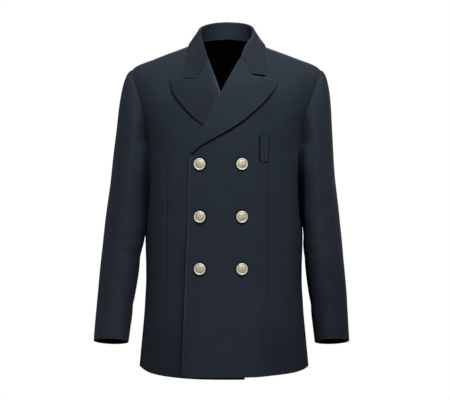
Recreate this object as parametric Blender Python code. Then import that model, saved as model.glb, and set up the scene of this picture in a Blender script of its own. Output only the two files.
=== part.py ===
"""A double-breasted dress jacket, hanging as it is worn, with no one in it.

The cloth is a set of thin walls, one for each piece that is cut and sewn. Every wall
follows one torso form or one sleeve form, so that neighbours meet along their seams.

Axes: +Z up, the jacket faces -Y, and the wearer's left is at +X. The origin lies in the
middle of the neck, level with the ends of the shoulder seams at the neck.
"""

import math

import bpy
import numpy as np

MM = 0.001

# Cloth and seams
WALL = 2.0 * MM
SEAM_GAP = 0.4 * MM
SLEEVE_SEAM_GAP = 0.7 * MM
GORGE_GAP = 0.8 * MM
NECK_GAP = 1.4 * MM

# Torso levels and lengths
CHEST_Z = -235.0 * MM
SIDE_HEM_Z = -757.0 * MM
TOP_HEM_Z = -763.5 * MM
UNDER_HEM_Z = -768.5 * MM
BACK_HEM_Z = -757.0 * MM
ARMHOLE_LOW_Z = -262.0 * MM
NECK_X = 76.0 * MM
SHOULDER_X = 226.0 * MM
FRONT_ROUND = 2.3
BACK_ROUND = 2.5

# Double-breasted lap: how far the top front stands off the under front, and where
LAP = 5.8 * MM
LAP_INNER_X = 70.0 * MM
LAP_OUTER_X = 118.0 * MM
LAP_FULL_Z = -105.0 * MM
LAP_NONE_Z = -45.0 * MM

# The whole garment hangs a little off plumb: the shoulders lean, the cuffs swing
SHOULDER_LEAN = 5.4 * MM
LEAN_LOW_Z = -200.0 * MM
LEAN_HIGH_Z = -50.0 * MM
CUFF_SWING = -5.5 * MM

# Grid sizes
LOWER_LEVELS = (0, 0.12, 0.24, 0.36, 0.48, 0.60, 0.72, 0.84, 0.95, 0.96, 1.0)
LOWER_ROWS = len(LOWER_LEVELS) - 1
GORGE_ROWS = 8
NECK_ROWS = 4
UPPER_ROWS = GORGE_ROWS + NECK_ROWS
FRONT_COLUMNS = 11
NECK_COLUMNS = 4
BACK_COLUMNS = NECK_COLUMNS + 5
SIDE_COLUMNS = 5
SLEEVE_ROWS = 17
CAP_ROWS = 7
FOLD_STEPS = 4

# Buttons and the badge tab
BUTTON_LIFT = 0.6 * MM
BUTTON_SIDES = 18
BUTTON_COLUMNS_X = (-53.2 * MM, 39.9 * MM)
BUTTON_ROWS_Z = (-282.2 * MM, -400.4 * MM, -518.4 * MM)
TAB_CENTRE_X = 89.6 * MM
TAB_WIDTH = 20.0 * MM
TAB_TOP_Z = -219.0 * MM
TAB_LOW_Z = -276.5 * MM
TAB_THICK = 1.4 * MM
TAB_STANDOFF = 1.0 * MM
TAB_CORNER = 3.0 * MM


def table(names, rows):
    """A short table as one array for each named column, in metres."""
    columns = np.array(rows, float).T * MM
    return dict(zip(names.split(), columns))


# Torso sections from the hem up: half width, and depth in front and behind
TORSO = table("z half_width front back", (
    (-790, 204.5, 138, 131),
    (-754, 201.5, 138, 130),
    (-675, 194.5, 137, 129),
    (-618, 189.5, 135, 124),
    (-545, 185.8, 132, 114),
    (-445, 188.5, 134, 114),
    (-390, 185.5, 137, 119),
    (-320, 183.0, 140, 126),
    (-235, 183.0, 142, 130),
))

# Above the chest the half widths open out to the shoulders
YOKE = table("z front_half back_half", (
    (-235, 183, 183),
    (-212, 187, 192),
    (-186, 195, 205),
    (-158, 207, 217),
    (-136, 217, 224),
    (-111, 226, 231),
    (-82, 235, 239),
    (-51, 243, 246),
    (-20, 250, 252),
    (90, 262, 262),
))

# The shoulder ridge, which the front and the back share beyond the neck
RIDGE = table("x front back", (
    (0, 38, 45),
    (20, 35.5, 42),
    (40, 28.5, 33),
    (60, 19.5, 20.5),
    (76, 11, 11),
    (101, 0.5, 0.5),
    (138, -13, -13),
    (176, -27.4, -27.4),
    (205, -38, -38),
    (216, -43.5, -43.5),
    (226, -51.5, -51.5),
    (245, -72, -72),
))

# Behind, the cloth rises further to the nape, most of all at the neck seam
NAPE_RISE = 60.0 * MM
NAPE_SPREAD = 76.0 * MM
NAPE_POWER = 3

# Armhole seam on the front and on the back, from the side panel up to the shoulder
ARMHOLE = table("z front_x back_x", (
    (-235, 179.5, 174.5),
    (-212, 183.5, 184),
    (-186, 187, 193),
    (-158, 191.5, 201),
    (-136, 198, 206.5),
    (-111, 206.6, 213),
    (-82, 217, 220),
    (-51.5, 226, 226),
))

# Side panel seams, as thousandths of the half width in front of and behind the side
SIDE_SEAMS = table("z ahead behind", (
    (-790, 968, 850),
    (-618, 974, 870),
    (-445, 978, 900),
    (-320, 980, 935),
    (-235, 980.9, 953.6),
))

# Inner edge of each front: the front edge up to the lapel, then the roll line, then the
# neck seam. The under front is written as if it were on the other side.
TOP_EDGE = table("z x", (
    (-790, -96), (-761, -95), (-640, -90.5), (-518, -85.5), (-400, -80.5), (-262, -77.5),
    (-228, -61.5), (-191, -42.3), (-150, -24.5), (-115, -6.8), (-90, 4.7), (-64, 17.4),
    (-39, 31.2), (-12, 55), (11, 76),
))
UNDER_EDGE = table("z x", (
    (-790, -46), (-766, -47), (-640, -52), (-518, -57), (-400, -61), (-262, -63),
    (-191, -25), (-150, -4.9), (-115, 12.2), (-90, 21.8), (-64, 32.2), (-39, 41.2),
    (-12, 58), (11, 76),
))
BREAK_Z = -261.0 * MM
FOLD_END_Z = -256.0 * MM
GORGE_Z = -39.0 * MM
GORGE_REACH = 4.0 * MM
GORGE_X = 36.0 * MM

# Lapel outlines on the front, from the neck: along the gorge to the notch, out to the
# tip, and down the free edge to the last button
TOP_LAPEL_HEAD = table("x z", ((44, -60), (53, -80.5), (62, -84.5), (90, -88.5), (116, -91.5)))
TOP_LAPEL_EDGE = table("x z", (
    (116, -91.5), (109.5, -112), (87.5, -141), (62.5, -167), (39, -187), (2.5, -210.6),
    (-34, -230.6), (-54, -242.5), (-67, -256.5),
))
UNDER_LAPEL_HEAD = table("x z", ((52, -62), (63, -88.5), (73, -89.5), (98, -89.8), (126.5, -90.5)))
UNDER_LAPEL_EDGE = table("x z", (
    (126.5, -90.5), (116.5, -120), (98, -145), (72, -173), (49.5, -192), (20, -213),
    (-14, -232), (-38, -246), (-52.5, -256.5),
))
HEAD_COLUMNS = 5

# The fold turns the wall back over itself, loosely where it shows and flat where the
# other front lies over it
FOLD_RADIUS = 3.6 * MM
COVERED_FOLD_RADIUS = 2.5 * MM
FOLD_LEG = 1.6 * MM
FOLD_GAP = 0.8 * MM
COVERED_LOW_Z = -108.0 * MM
COVERED_HIGH_Z = -58.0 * MM
LAPEL_LIFT = 3.4 * MM
LAPEL_LIFT_REACH = 80.0 * MM

# Sleeve sections down the arm: extent across, middle and half depth, plane tilt in degrees
SLEEVE = table("z outer inner middle_y half_depth", (
    (-330, 273.5, 188.5, 0, 76),
    (-430, 284.5, 189.8, -4, 71),
    (-531, 293.0, 197.5, -14, 64),
    (-600, 297.5, 207.0, -27, 58.5),
    (-695, 301.0, 217.5, -50, 53),
))
SLEEVE_TILT = dict(z=SLEEVE["z"], degrees=np.array((2.0, 4.0, 8.0, 11.5, 15.5)))
SLEEVE_TOE_IN = math.radians(13.0)
CAP_FOOT_Z = -330.0 * MM
CUFF_Z = -695.0 * MM
CUFF_RISE = 0.045

# The collar, from the centre back to just above the gorge: its fold, where a height of 0
# rests it on the front, and its free edge, with how far that stands off the cloth
LEFT_COLLAR = table("fold_x fold_y fold_z edge_x edge_y off", (
    (0, 75, 78, 0, 77, 5), (28, 70.5, 76, 32, 70, 5), (50.5, 54, 69.5, 59.5, 52, 5),
    (62, 27, 58, 78.5, 26, 4.5), (63.8, -2, 43, 86.5, -3, 4.5), (59.5, -26, 23, 90.5, -32, 4.5),
    (50.5, -48, 0, 90.5, -57, 5), (42, -72, 0, 89, -77, 6),
))
RIGHT_COLLAR = table("fold_x fold_y fold_z edge_x edge_y off", (
    (0, 75, 78, 0, 77, 5), (27.5, 70.5, 75.3, 31.5, 70, 5), (49, 54, 67.5, 58, 52, 5),
    (60.5, 27, 56.5, 77.5, 26, 4.5), (62.5, -2, 43, 84.5, -3, 4.5), (58.5, -26, 23, 87.5, -32, 4.5),
    (54, -48, 0, 88.5, -57, 5), (49, -72, 0, 91, -77, 6),
))
RIGHT_COLLAR_END = table("x z", ((52, -62), (63, -88.5), (74, -89), (85, -89), (96, -89)))
LEFT_COLLAR_END = table("x z", ((44, -60), (53, -80.5), (64, -81.3), (75.5, -82.1), (86.7, -83)))
COLLAR_END_SHARE = (0, 0, 0, 0, 0, 0.03, 0.14, 0.42, 1)
COLLAR_BULGE = 1.2 * MM
COLLAR_CLEAR = 3.4 * MM
STAND_GAP = 0.6 * MM
FRONT_STATIONS = 4

# Soft hollows in the torso cloth: place round the body in degrees from the centre front,
# height, half spread each way and depth
HOLLOWS = (
    # angle, z,   half_angle, half_height, depth
    (74, -300, 13, 150, 2.6),
    (-74, -290, 13, 150, 3.0),
    (63, -600, 9, 190, 2.2),
    (-66, -610, 10, 190, 2.8),
    (40, -680, 10, 150, 1.4),
    (148, -300, 11, 160, 3.4),
    (-148, -300, 11, 160, 3.4),
    (128, -640, 11, 170, 2.2),
    (-130, -630, 11, 170, 2.2),
    (180, -520, 22, 110, 3.2),
)

# Soft creases round the sleeve, at the elbow and above the cuff
CREASES = (
    # z,   angle, half_angle, half_height, depth, slant
    (-455, 135, 60, 12, 2.6, 10),
    (-492, 120, 55, 11, 2.0, -8),
    (-425, 205, 55, 12, 2.0, 6),
    (-560, 75, 50, 13, 1.4, 9),
    (-385, 60, 45, 14, 1.6, -12),
    (-610, 160, 60, 13, 1.8, 5),
)


def remove_all():
    for thing in list(bpy.data.objects):
        bpy.data.objects.remove(thing)


def curve(xs, ys):
    """A smooth curve through a table's points that doesn't overshoot them."""
    steps = np.diff(xs)
    slopes = np.diff(ys) / steps
    ends = np.zeros(len(xs))
    before, after = slopes[:-1], slopes[1:]
    same_way = before * after > 0
    ends[1:-1][same_way] = (2 * before * after / (before + after + 1e-30))[same_way]
    ends[0], ends[-1] = slopes[0], slopes[-1]

    def at(x):
        x = np.asarray(x, float)
        i = np.clip(np.searchsorted(xs, x) - 1, 0, len(steps) - 1)
        t = (x - xs[i]) / steps[i]
        rise = (3 - 2 * t) * t * t
        return (
            ys[i] * (1 - rise)
            + ys[i + 1] * rise
            + steps[i] * (ends[i] * t * (1 - t) ** 2 - ends[i + 1] * t * t * (1 - t))
        )

    return at


def column(rows, key, name):
    """A table's column as a smooth curve of its key column."""
    order = np.argsort(rows[key])
    return curve(rows[key][order], rows[name][order])


def ease(t):
    """0 before 0, 1 after 1, and smooth between."""
    t = np.clip(t, 0, 1)
    return t * t * (3 - 2 * t)


def unit(vectors):
    return vectors / np.maximum(np.linalg.norm(vectors, axis=-1, keepdims=True), 1e-12)


torso_half = column(TORSO, "z", "half_width")
torso_front = column(TORSO, "z", "front")
torso_back = column(TORSO, "z", "back")
yoke_front_half = column(YOKE, "z", "front_half")
yoke_back_half = column(YOKE, "z", "back_half")
ridge_front = column(RIDGE, "x", "front")
ridge_back = column(RIDGE, "x", "back")
armhole_front_x = column(ARMHOLE, "z", "front_x")
armhole_back_x = column(ARMHOLE, "z", "back_x")
seam_ahead = column(SIDE_SEAMS, "z", "ahead")
seam_behind = column(SIDE_SEAMS, "z", "behind")
top_edge_x = column(TOP_EDGE, "z", "x")
under_edge_x = column(UNDER_EDGE, "z", "x")


def hollow_depth(angle, z):
    """How far the soft hollows push the cloth in, at an angle round the torso."""
    total = np.zeros(np.broadcast(angle, z).shape)
    for middle, height, half_angle, half_height, depth in HOLLOWS:
        turn = (np.degrees(angle) - middle + 180) % 360 - 180
        rise = (z - height * MM) / (half_height * MM)
        total += depth * MM * np.exp(-((turn / half_angle) ** 2) - rise**2)
    return total


def lower_torso(angle, z):
    """Point of the torso below the chest. The angle runs from the centre front."""
    ahead = np.cos(angle) > 0
    power = np.where(ahead, FRONT_ROUND, BACK_ROUND)
    across, along = np.abs(np.sin(angle)), np.abs(np.cos(angle))
    size = (across**power + along**power) ** (-1 / power)
    x = np.sign(np.sin(angle)) * torso_half(z) * across * size
    depth = np.where(ahead, torso_front(z), torso_back(z)) * along * size
    return np.stack([x, np.where(ahead, -depth, depth), z + 0 * x], axis=-1)


def level(x, turn, ahead):
    """Height above the chest, on the fan of rows that run up to the shoulder ridge."""
    ridge = (ridge_front if ahead else ridge_back)(np.abs(x))
    nape = 0.0 if ahead else NAPE_RISE * np.clip(1 - (x / NAPE_SPREAD) ** 2, 0, 1) ** 2
    return CHEST_Z + (ridge - CHEST_Z) * np.cos(turn) + nape * np.cos(turn) ** NAPE_POWER


def upper_torso(x, turn, ahead):
    """Point above the chest. The turn runs from 90 degrees at the chest to 0 on the ridge."""
    z = level(x, turn, ahead)
    half = (yoke_front_half if ahead else yoke_back_half)(z)
    power = FRONT_ROUND if ahead else BACK_ROUND
    share = np.clip(np.abs(x) / half, 0, 1) ** power
    reach = float(torso_front(CHEST_Z) if ahead else -torso_back(CHEST_Z))
    y = -reach * (1 - share) ** (1 / power) * np.sin(turn)
    return np.stack([x + 0 * y, y, z], axis=-1)


def with_normal(surface, first, second, outward):
    """Points of a surface with their outward normals, from small steps each way."""
    step = 1e-4
    points = surface(first, second)
    one = surface(first + step, second) - surface(first - step, second)
    two = surface(first, second + step) - surface(first, second - step)
    normals = unit(np.cross(one, two))
    turned = np.sum(normals * outward(points), axis=-1, keepdims=True) < 0
    return points, np.where(turned, -normals, normals)


def from_axis(points):
    return points * np.array([1.0, 1.0, 0.0])


def lower_cloth(angle, z):
    """Lower torso points and normals, with the soft hollows pressed in."""
    points, normals = with_normal(lower_torso, angle, z, from_axis)
    return points - hollow_depth(angle, z)[..., None] * normals, normals


def upper_cloth(x, turn, ahead):
    """Upper torso points and normals, with the same hollows running on up."""
    def surface(a, b):
        return upper_torso(a, b, ahead)

    def outward(points):
        return from_axis(points) + np.array([0.0, 0.0, 0.05])

    points, normals = with_normal(surface, x, np.maximum(turn, 2e-4), outward)
    reach = np.where(ahead, 1.0, -1.0)
    angle = np.arctan2(
        points[..., 0] / torso_half(CHEST_Z),
        reach * np.sqrt(np.maximum(1 - (points[..., 0] / (250 * MM)) ** 2, 0)),
    )
    fade = np.sin(turn)[..., None]
    return points - hollow_depth(angle, points[..., 2])[..., None] * fade * normals, normals


def angle_at(share, ahead):
    """Angle round the section where the width is this share of the half width."""
    power = FRONT_ROUND if ahead else BACK_ROUND
    share = np.clip(share, -0.99999, 0.99999)
    along = (1 - np.abs(share) ** power) ** (1 / power)
    return np.arctan2(share, along if ahead else -along)


def lean(points):
    """Shifts the shoulders and neck sideways, fading out down to the chest."""
    moved = np.array(points, float)
    share = ease((moved[..., 2] - LEAN_LOW_Z) / (LEAN_HIGH_Z - LEAN_LOW_Z))
    moved[..., 0] += SHOULDER_LEAN * share
    return moved


def mirrored(points, side):
    return points * np.array([side, 1.0, 1.0])


def upper_turns():
    """Rows above the chest, with one of them through the gorge."""
    ridge = float(ridge_front(GORGE_X))
    gorge = math.acos((GORGE_Z - CHEST_Z) / (ridge - CHEST_Z))
    below = np.linspace(math.pi / 2, gorge, GORGE_ROWS + 1)[1:]
    above = np.linspace(gorge, 0, NECK_ROWS + 1)[1:]
    return np.concatenate([below, above])


def edge_on_row(edge_x, turn, ahead):
    """Where an edge curve x(z) crosses one of the rows that fan up to the shoulder."""
    z = CHEST_Z
    for _ in range(60):
        x = float(edge_x(z))
        ridge = float((ridge_front if ahead else ridge_back)(abs(x)))
        z = 0.5 * z + 0.5 * (CHEST_Z + (ridge - CHEST_Z) * math.cos(turn))
    return float(edge_x(z))


def spread(low, high, half, count):
    """Widths from one edge to the other, closer together where the form turns away."""
    angles = np.linspace(math.asin(low / half), math.asin(high / half), count + 1)
    return half * np.sin(angles)


def top_radius(z):
    return FOLD_RADIUS + 0 * z


def under_radius(z):
    shows = ease((z - COVERED_LOW_Z) / (COVERED_HIGH_Z - COVERED_LOW_Z))
    return COVERED_FOLD_RADIUS + (FOLD_RADIUS - COVERED_FOLD_RADIUS) * shows


def fold_room(radius):
    """How far the front's wall stops short of its edge, to leave room for the fold."""
    def at(z):
        start = ease((z - BREAK_Z) / (FOLD_END_Z - BREAK_Z))
        room = (radius(z) + FOLD_LEG + FOLD_GAP) * start
        return float(room if z < GORGE_Z + GORGE_REACH else NECK_GAP)

    return at


def height_on_row(edge, turn):
    """Height at which an edge curve crosses one of the rows that fan up to the shoulder."""
    z = CHEST_Z
    for _ in range(60):
        ridge = float(ridge_front(abs(float(edge(z)))))
        z = 0.5 * z + 0.5 * (CHEST_Z + (ridge - CHEST_Z) * math.cos(turn))
    return z


def front_grid(edge, set_in, inner_hem, columns=FRONT_COLUMNS):
    """Points and normals of a front, hem to shoulder, from its inner edge to the side."""
    rows = []
    for level in LOWER_LEVELS:
        z_seam = SIDE_HEM_Z + level * (CHEST_Z - SIDE_HEM_Z)
        z_edge = inner_hem + level * (CHEST_Z - inner_hem)
        first = angle_at(float((edge(z_edge) + set_in(z_edge)) / torso_half(z_edge)), True)
        last = angle_at(float(seam_ahead(z_seam)), True)
        across = np.linspace(0, 1, columns + 1)
        z = z_edge + (z_seam - z_edge) * across**3
        rows.append(lower_cloth(first + (last - first) * across, z))
    for turn in upper_turns():
        z_edge = height_on_row(edge, turn)
        low = float(edge(z_edge) + set_in(z_edge))
        high = edge_on_row(armhole_front_x, turn, True)
        xs = spread(low, high, 252 * MM, columns)
        rows.append(upper_cloth(xs, np.full(len(xs), turn), True))
    points = np.array([row[0] for row in rows])
    normals = np.array([row[1] for row in rows])
    return points, normals


def neck_turn(x):
    """Turn at which the neck seam cuts off the back, at a distance from the centre."""
    return np.radians(32.5) * np.sqrt(np.maximum(1 - (np.abs(x) / NECK_X) ** 2.6, 0))


def front_at(x, z):
    """Points and normals of the front, where it is seen at x and z from the front."""
    x, z = np.broadcast_arrays(np.asarray(x, float), np.asarray(z, float))
    low, low_normals = lower_cloth(angle_at(x / torso_half(z), True), np.minimum(z, CHEST_Z))
    cosine = (z - CHEST_Z) / (ridge_front(np.abs(x)) - CHEST_Z)
    high, high_normals = upper_cloth(x, np.arccos(np.clip(cosine, 0, 1)), True)
    above = (z > CHEST_Z)[..., None]
    return np.where(above, high, low), np.where(above, high_normals, low_normals)


def resting_on(x, y):
    """Points and normals of the shoulders, where they are seen at x and y from above."""
    x, y = np.broadcast_arrays(np.asarray(x, float), np.asarray(y, float))
    points, normals = np.zeros(x.shape + (3,)), np.zeros(x.shape + (3,))
    for ahead in (True, False):
        half_at = yoke_front_half if ahead else yoke_back_half
        power = FRONT_ROUND if ahead else BACK_ROUND
        reach = float(torso_front(CHEST_Z) if ahead else torso_back(CHEST_Z))
        z = level(x, 0 * x, ahead)
        for _ in range(12):
            size = (1 - np.clip(np.abs(x) / half_at(z), 0, 0.999) ** power) ** (1 / power)
            turn = np.arcsin(np.clip(np.abs(y) / (reach * size), 0, 1))
            z = level(x, turn, ahead)
        found, found_normals = upper_cloth(x, turn, ahead)
        here = ((y < 0) == ahead)[..., None]
        points = np.where(here, found, points)
        normals = np.where(here, found_normals, normals)
    return points, normals


def back_grid():
    """Points and normals of half the back, from the centre seam to the side panel."""
    rows = []
    across = np.linspace(0, 1, BACK_COLUMNS + 1)
    for level in LOWER_LEVELS:
        z_seam = SIDE_HEM_Z + level * (CHEST_Z - SIDE_HEM_Z)
        z_middle = BACK_HEM_Z + level * (CHEST_Z - BACK_HEM_Z)
        last = angle_at(float(seam_behind(z_seam)), False)
        angles = math.pi + (last - math.pi) * across
        rows.append(lower_cloth(angles, z_middle + (z_seam - z_middle) * across))
    for turn in upper_turns():
        high = edge_on_row(armhole_back_x, turn, False)
        share = (math.pi / 2 - turn) / (math.pi / 2)
        even = spread(0.0, high, 252 * MM, BACK_COLUMNS)
        beyond = np.linspace(NECK_X, high, BACK_COLUMNS - NECK_COLUMNS + 1)[1:]
        at_neck = np.concatenate([NECK_X * np.sin(np.linspace(0, math.pi / 2, NECK_COLUMNS + 1)), beyond])
        xs = even + (at_neck - even) * ease(share)
        top = neck_turn(xs)
        rows.append(upper_cloth(xs, math.pi / 2 - share * (math.pi / 2 - top), False))
    points = np.array([row[0] for row in rows])
    normals = np.array([row[1] for row in rows])
    return points, normals


def side_grid():
    """Points and normals of a side panel, whose top edge is the foot of the armhole."""
    across = np.linspace(0, 1, SIDE_COLUMNS + 1)
    rows = []
    for level in LOWER_LEVELS:
        z_seam = SIDE_HEM_Z + level * (CHEST_Z - SIDE_HEM_Z)
        first = angle_at(float(seam_ahead(z_seam)), True)
        last = angle_at(float(seam_behind(z_seam)), False)
        dip = (CHEST_Z - ARMHOLE_LOW_Z) * np.sin(math.pi * across) ** 0.8
        rows.append(lower_cloth(first + (last - first) * across, z_seam - dip * level**3))
    points = np.array([row[0] for row in rows])
    normals = np.array([row[1] for row in rows])
    return points, normals


def lap_offset(points):
    """How far the top front stands off the torso form."""
    near = 1 - ease((points[..., 0] - LAP_INNER_X) / (LAP_OUTER_X - LAP_INNER_X))
    low = 1 - ease((points[..., 2] - LAP_FULL_Z) / (LAP_NONE_Z - LAP_FULL_Z))
    return LAP * near * low


def drawn_in(edge, neighbours, distance):
    """An edge moved squarely towards the next row of points."""
    along = unit(np.gradient(edge, axis=0))
    across = neighbours - edge
    across = across - np.sum(across * along, axis=-1, keepdims=True) * along
    return edge + distance * unit(across)


def opened(grid, left=0.0, right=0.0, bottom=0.0, top=0.0):
    """The grid with each named edge drawn in by a distance, to open a seam."""
    out = np.array(grid, float)
    out[:, 0] = drawn_in(out[:, 0], out[:, 1], left)
    out[:, -1] = drawn_in(out[:, -1], out[:, -2], right)
    out[0] = drawn_in(out[0], out[1], bottom)
    out[-1] = drawn_in(out[-1], out[-2], top)
    return out


def grid_faces(rows, columns, start, flip):
    faces = []
    for i in range(rows - 1):
        for j in range(columns - 1):
            a = start + i * columns + j
            quad = [a, a + 1, a + columns + 1, a + columns]
            faces.append(quad[::-1] if flip else quad)
    return faces


def rim_of(rows, columns):
    """Indices round a grid's edge, once."""
    bottom = [j for j in range(columns)]
    right = [i * columns + columns - 1 for i in range(1, rows)]
    top = [(rows - 1) * columns + j for j in range(columns - 2, -1, -1)]
    left = [i * columns for i in range(rows - 2, 0, -1)]
    return bottom + right + top + left


def add_object(name, points, faces, material, smooth_angle=40):
    mesh = bpy.data.meshes.new(name)
    mesh.from_pydata([tuple(p) for p in points], [], faces)
    mesh.validate()
    mesh.update()
    mesh.shade_smooth()
    mesh.set_sharp_from_angle(angle=math.radians(smooth_angle))
    mesh.materials.append(material)
    thing = bpy.data.objects.new(name, mesh)
    bpy.context.scene.collection.objects.link(thing)
    return thing


def add_wall(name, outer, inner, material):
    """A closed wall between two grids of the same size."""
    rows, columns = outer.shape[:2]
    count = rows * columns
    points = np.concatenate([outer.reshape(-1, 3), inner.reshape(-1, 3)])
    middle = (rows // 2) * columns + columns // 2
    across = points[middle + 1] - points[middle]
    along = points[middle + columns] - points[middle]
    outward = points[middle] - points[middle + count]
    flip = float(np.dot(np.cross(across, along), outward)) < 0
    faces = grid_faces(rows, columns, 0, flip) + grid_faces(rows, columns, count, not flip)
    rim = rim_of(rows, columns)
    for a, b in zip(rim, rim[1:] + rim[:1]):
        quad = [a, a + count, b + count, b]
        faces.append(quad[::-1] if flip else quad)
    return add_object(name, points, faces, material)


def make_material(name, colour, roughness, metallic=0.0):
    material = bpy.data.materials.new(name)
    material.use_nodes = True
    shader = material.node_tree.nodes["Principled BSDF"]
    shader.inputs["Base Color"].default_value = (*colour, 1.0)
    shader.inputs["Roughness"].default_value = roughness
    shader.inputs["Metallic"].default_value = metallic
    return material


def add_panel(name, points, normals, side, material, offset=0.0, **edges):
    """A body panel: its wall lies inside the form, pushed out by the offset."""
    offset = np.broadcast_to(offset, points.shape[:2])[..., None]
    outer = opened(points + offset * normals, **edges)
    inner = opened(points + (offset - WALL) * normals, **edges)
    return add_wall(name, lean(mirrored(outer, side)), lean(mirrored(inner, side)), material)


def build_fronts(material):
    points, normals = front_grid(top_edge_x, fold_room(top_radius), TOP_HEM_Z)
    add_panel(
        "front_left", points, normals, 1, material, lap_offset(points),
        right=SEAM_GAP / 2, top=SEAM_GAP / 2,
    )
    points, normals = front_grid(under_edge_x, fold_room(under_radius), UNDER_HEM_Z)
    add_panel(
        "front_right", points, normals, -1, material,
        right=SEAM_GAP / 2, top=SEAM_GAP / 2,
    )


def along_line(xs, zs, shares):
    """Places at shares of the way along a smooth line through the given ones."""
    reach = np.concatenate([[0], np.cumsum(np.hypot(np.diff(xs), np.diff(zs)))])
    at = shares * reach[-1]
    return curve(reach, xs)(at), curve(reach, zs)(at)


def fold_frames(edge, z, radius, offset_at):
    """Middle of the fold on the roll line, with its directions out of and into the cloth."""
    step = 1.0 * MM
    x = edge(z)
    slope = (edge(z + step) - edge(z - step)) / (2 * step)
    points, normals = front_at(x + radius, z)
    above = front_at(x + radius + slope * step, z + step)[0]
    below = front_at(x + radius - slope * step, z - step)[0]
    inward = unit(np.cross(normals, unit(above - below)))
    inward = np.where(inward[:, :1] < 0, -inward, inward)
    middle = points + (offset_at(points) + radius - WALL)[:, None] * normals
    return middle, normals, inward


def fold_columns(middle, out, inward, radius):
    """Columns of the wall's middle as it turns over the fold, from under to over."""
    arc = (radius - WALL / 2)[:, None]
    turns = np.linspace(0, math.pi, FOLD_STEPS + 1)
    return [middle - arc * (math.cos(t) * out + math.sin(t) * inward) for t in turns]


def leaf_height(away, radius, covered=0.0):
    """How far the middle of a leaf stands off the cloth under it."""
    lift = LAPEL_LIFT * ease(away / LAPEL_LIFT_REACH) * (1 - covered)
    return 2 * radius - 1.5 * WALL + lift


def roll_levels(edge):
    """Heights of the rows down a lapel: those of its front, so that the two lie alike."""
    rows = [height_on_row(edge, turn) for turn in upper_turns()[GORGE_ROWS - 1 :: -1]]
    return np.array(rows + [CHEST_Z, FOLD_END_Z])


def lapel_grid(edge, radius_at, head, free_edge, offset_at, covered):
    """The middle surface of a lapel: a short leg, the fold, and the leaf to its free edge."""
    z = roll_levels(edge)
    x, radius = edge(z), radius_at(z)
    middle, out, inward = fold_frames(edge, z, radius, offset_at)
    columns = fold_columns(middle, out, inward, radius)
    columns.insert(0, columns[0] + FOLD_LEG * inward)
    edge_x, edge_z = along_line(free_edge["x"], free_edge["z"], (z[0] - z) / (z[0] - z[-1]))
    start = np.stack([x + radius, z], axis=-1)
    finish = np.stack([edge_x, edge_z], axis=-1)
    fade = ((z - z[-1]) / (z[0] - z[-1]))[:, None] ** 2.2
    for i, (head_x, head_z) in enumerate(zip(head["x"], head["z"]), 1):
        share = i / HEAD_COLUMNS
        straight = start[0] + share * (finish[0] - start[0])
        leaf = start + share * (finish - start) + fade * (np.array([head_x, head_z]) - straight)
        points, normals = front_at(leaf[:, 0], leaf[:, 1])
        away = np.linalg.norm(leaf - start, axis=-1)
        height = offset_at(points) + leaf_height(away, radius, covered(leaf[:, 0], leaf[:, 1]))
        columns.append(points + height[:, None] * normals)
    return np.stack(columns, axis=1)


def sheet_normals(grid):
    """Normals of an open grid, from its own rows and columns."""
    return unit(np.cross(np.gradient(grid, axis=1), np.gradient(grid, axis=0)))


def add_sheet(name, grid, side, material, **edges):
    """A wall whose middle is the given grid."""
    normals = sheet_normals(grid)
    outer = opened(grid + WALL / 2 * normals, **edges)
    inner = opened(grid - WALL / 2 * normals, **edges)
    return add_wall(name, lean(mirrored(outer, side)), lean(mirrored(inner, side)), material)


def no_lap(points):
    return np.zeros(points.shape[:-1])


def never_covered(x, z):
    return np.zeros(np.shape(x))


def under_top_front(x, z):
    """1 where the top front lies over the under lapel, 0 well clear of it."""
    return 1 - ease((top_edge_x(z) + x - 8 * MM) / (34 * MM))


def build_lapels(material):
    grid = lapel_grid(top_edge_x, top_radius, TOP_LAPEL_HEAD, TOP_LAPEL_EDGE, lap_offset, never_covered)
    add_sheet("lapel_left", grid, 1, material, bottom=GORGE_GAP / 2)
    grid = lapel_grid(
        under_edge_x, under_radius, UNDER_LAPEL_HEAD, UNDER_LAPEL_EDGE, no_lap, under_top_front
    )
    add_sheet("lapel_right", grid, -1, material, bottom=GORGE_GAP / 2)


def collar_seam(edge_x):
    """The neck seam from the centre back to the gorge, as the backs and fronts run to it."""
    xs = NECK_X * np.sin(np.linspace(0, math.pi / 2, NECK_COLUMNS + 1))
    back, back_normals = upper_cloth(xs, neck_turn(xs), False)
    front, front_normals = [], []
    for turn in upper_turns()[GORGE_ROWS - 1 : -1][::-1]:
        x = float(edge_x(height_on_row(edge_x, turn)))
        point, normal = upper_cloth(np.array(x), np.array(turn), True)
        front.append(point)
        front_normals.append(normal)
    return np.concatenate([back, front]), np.concatenate([back_normals, front_normals])


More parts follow.
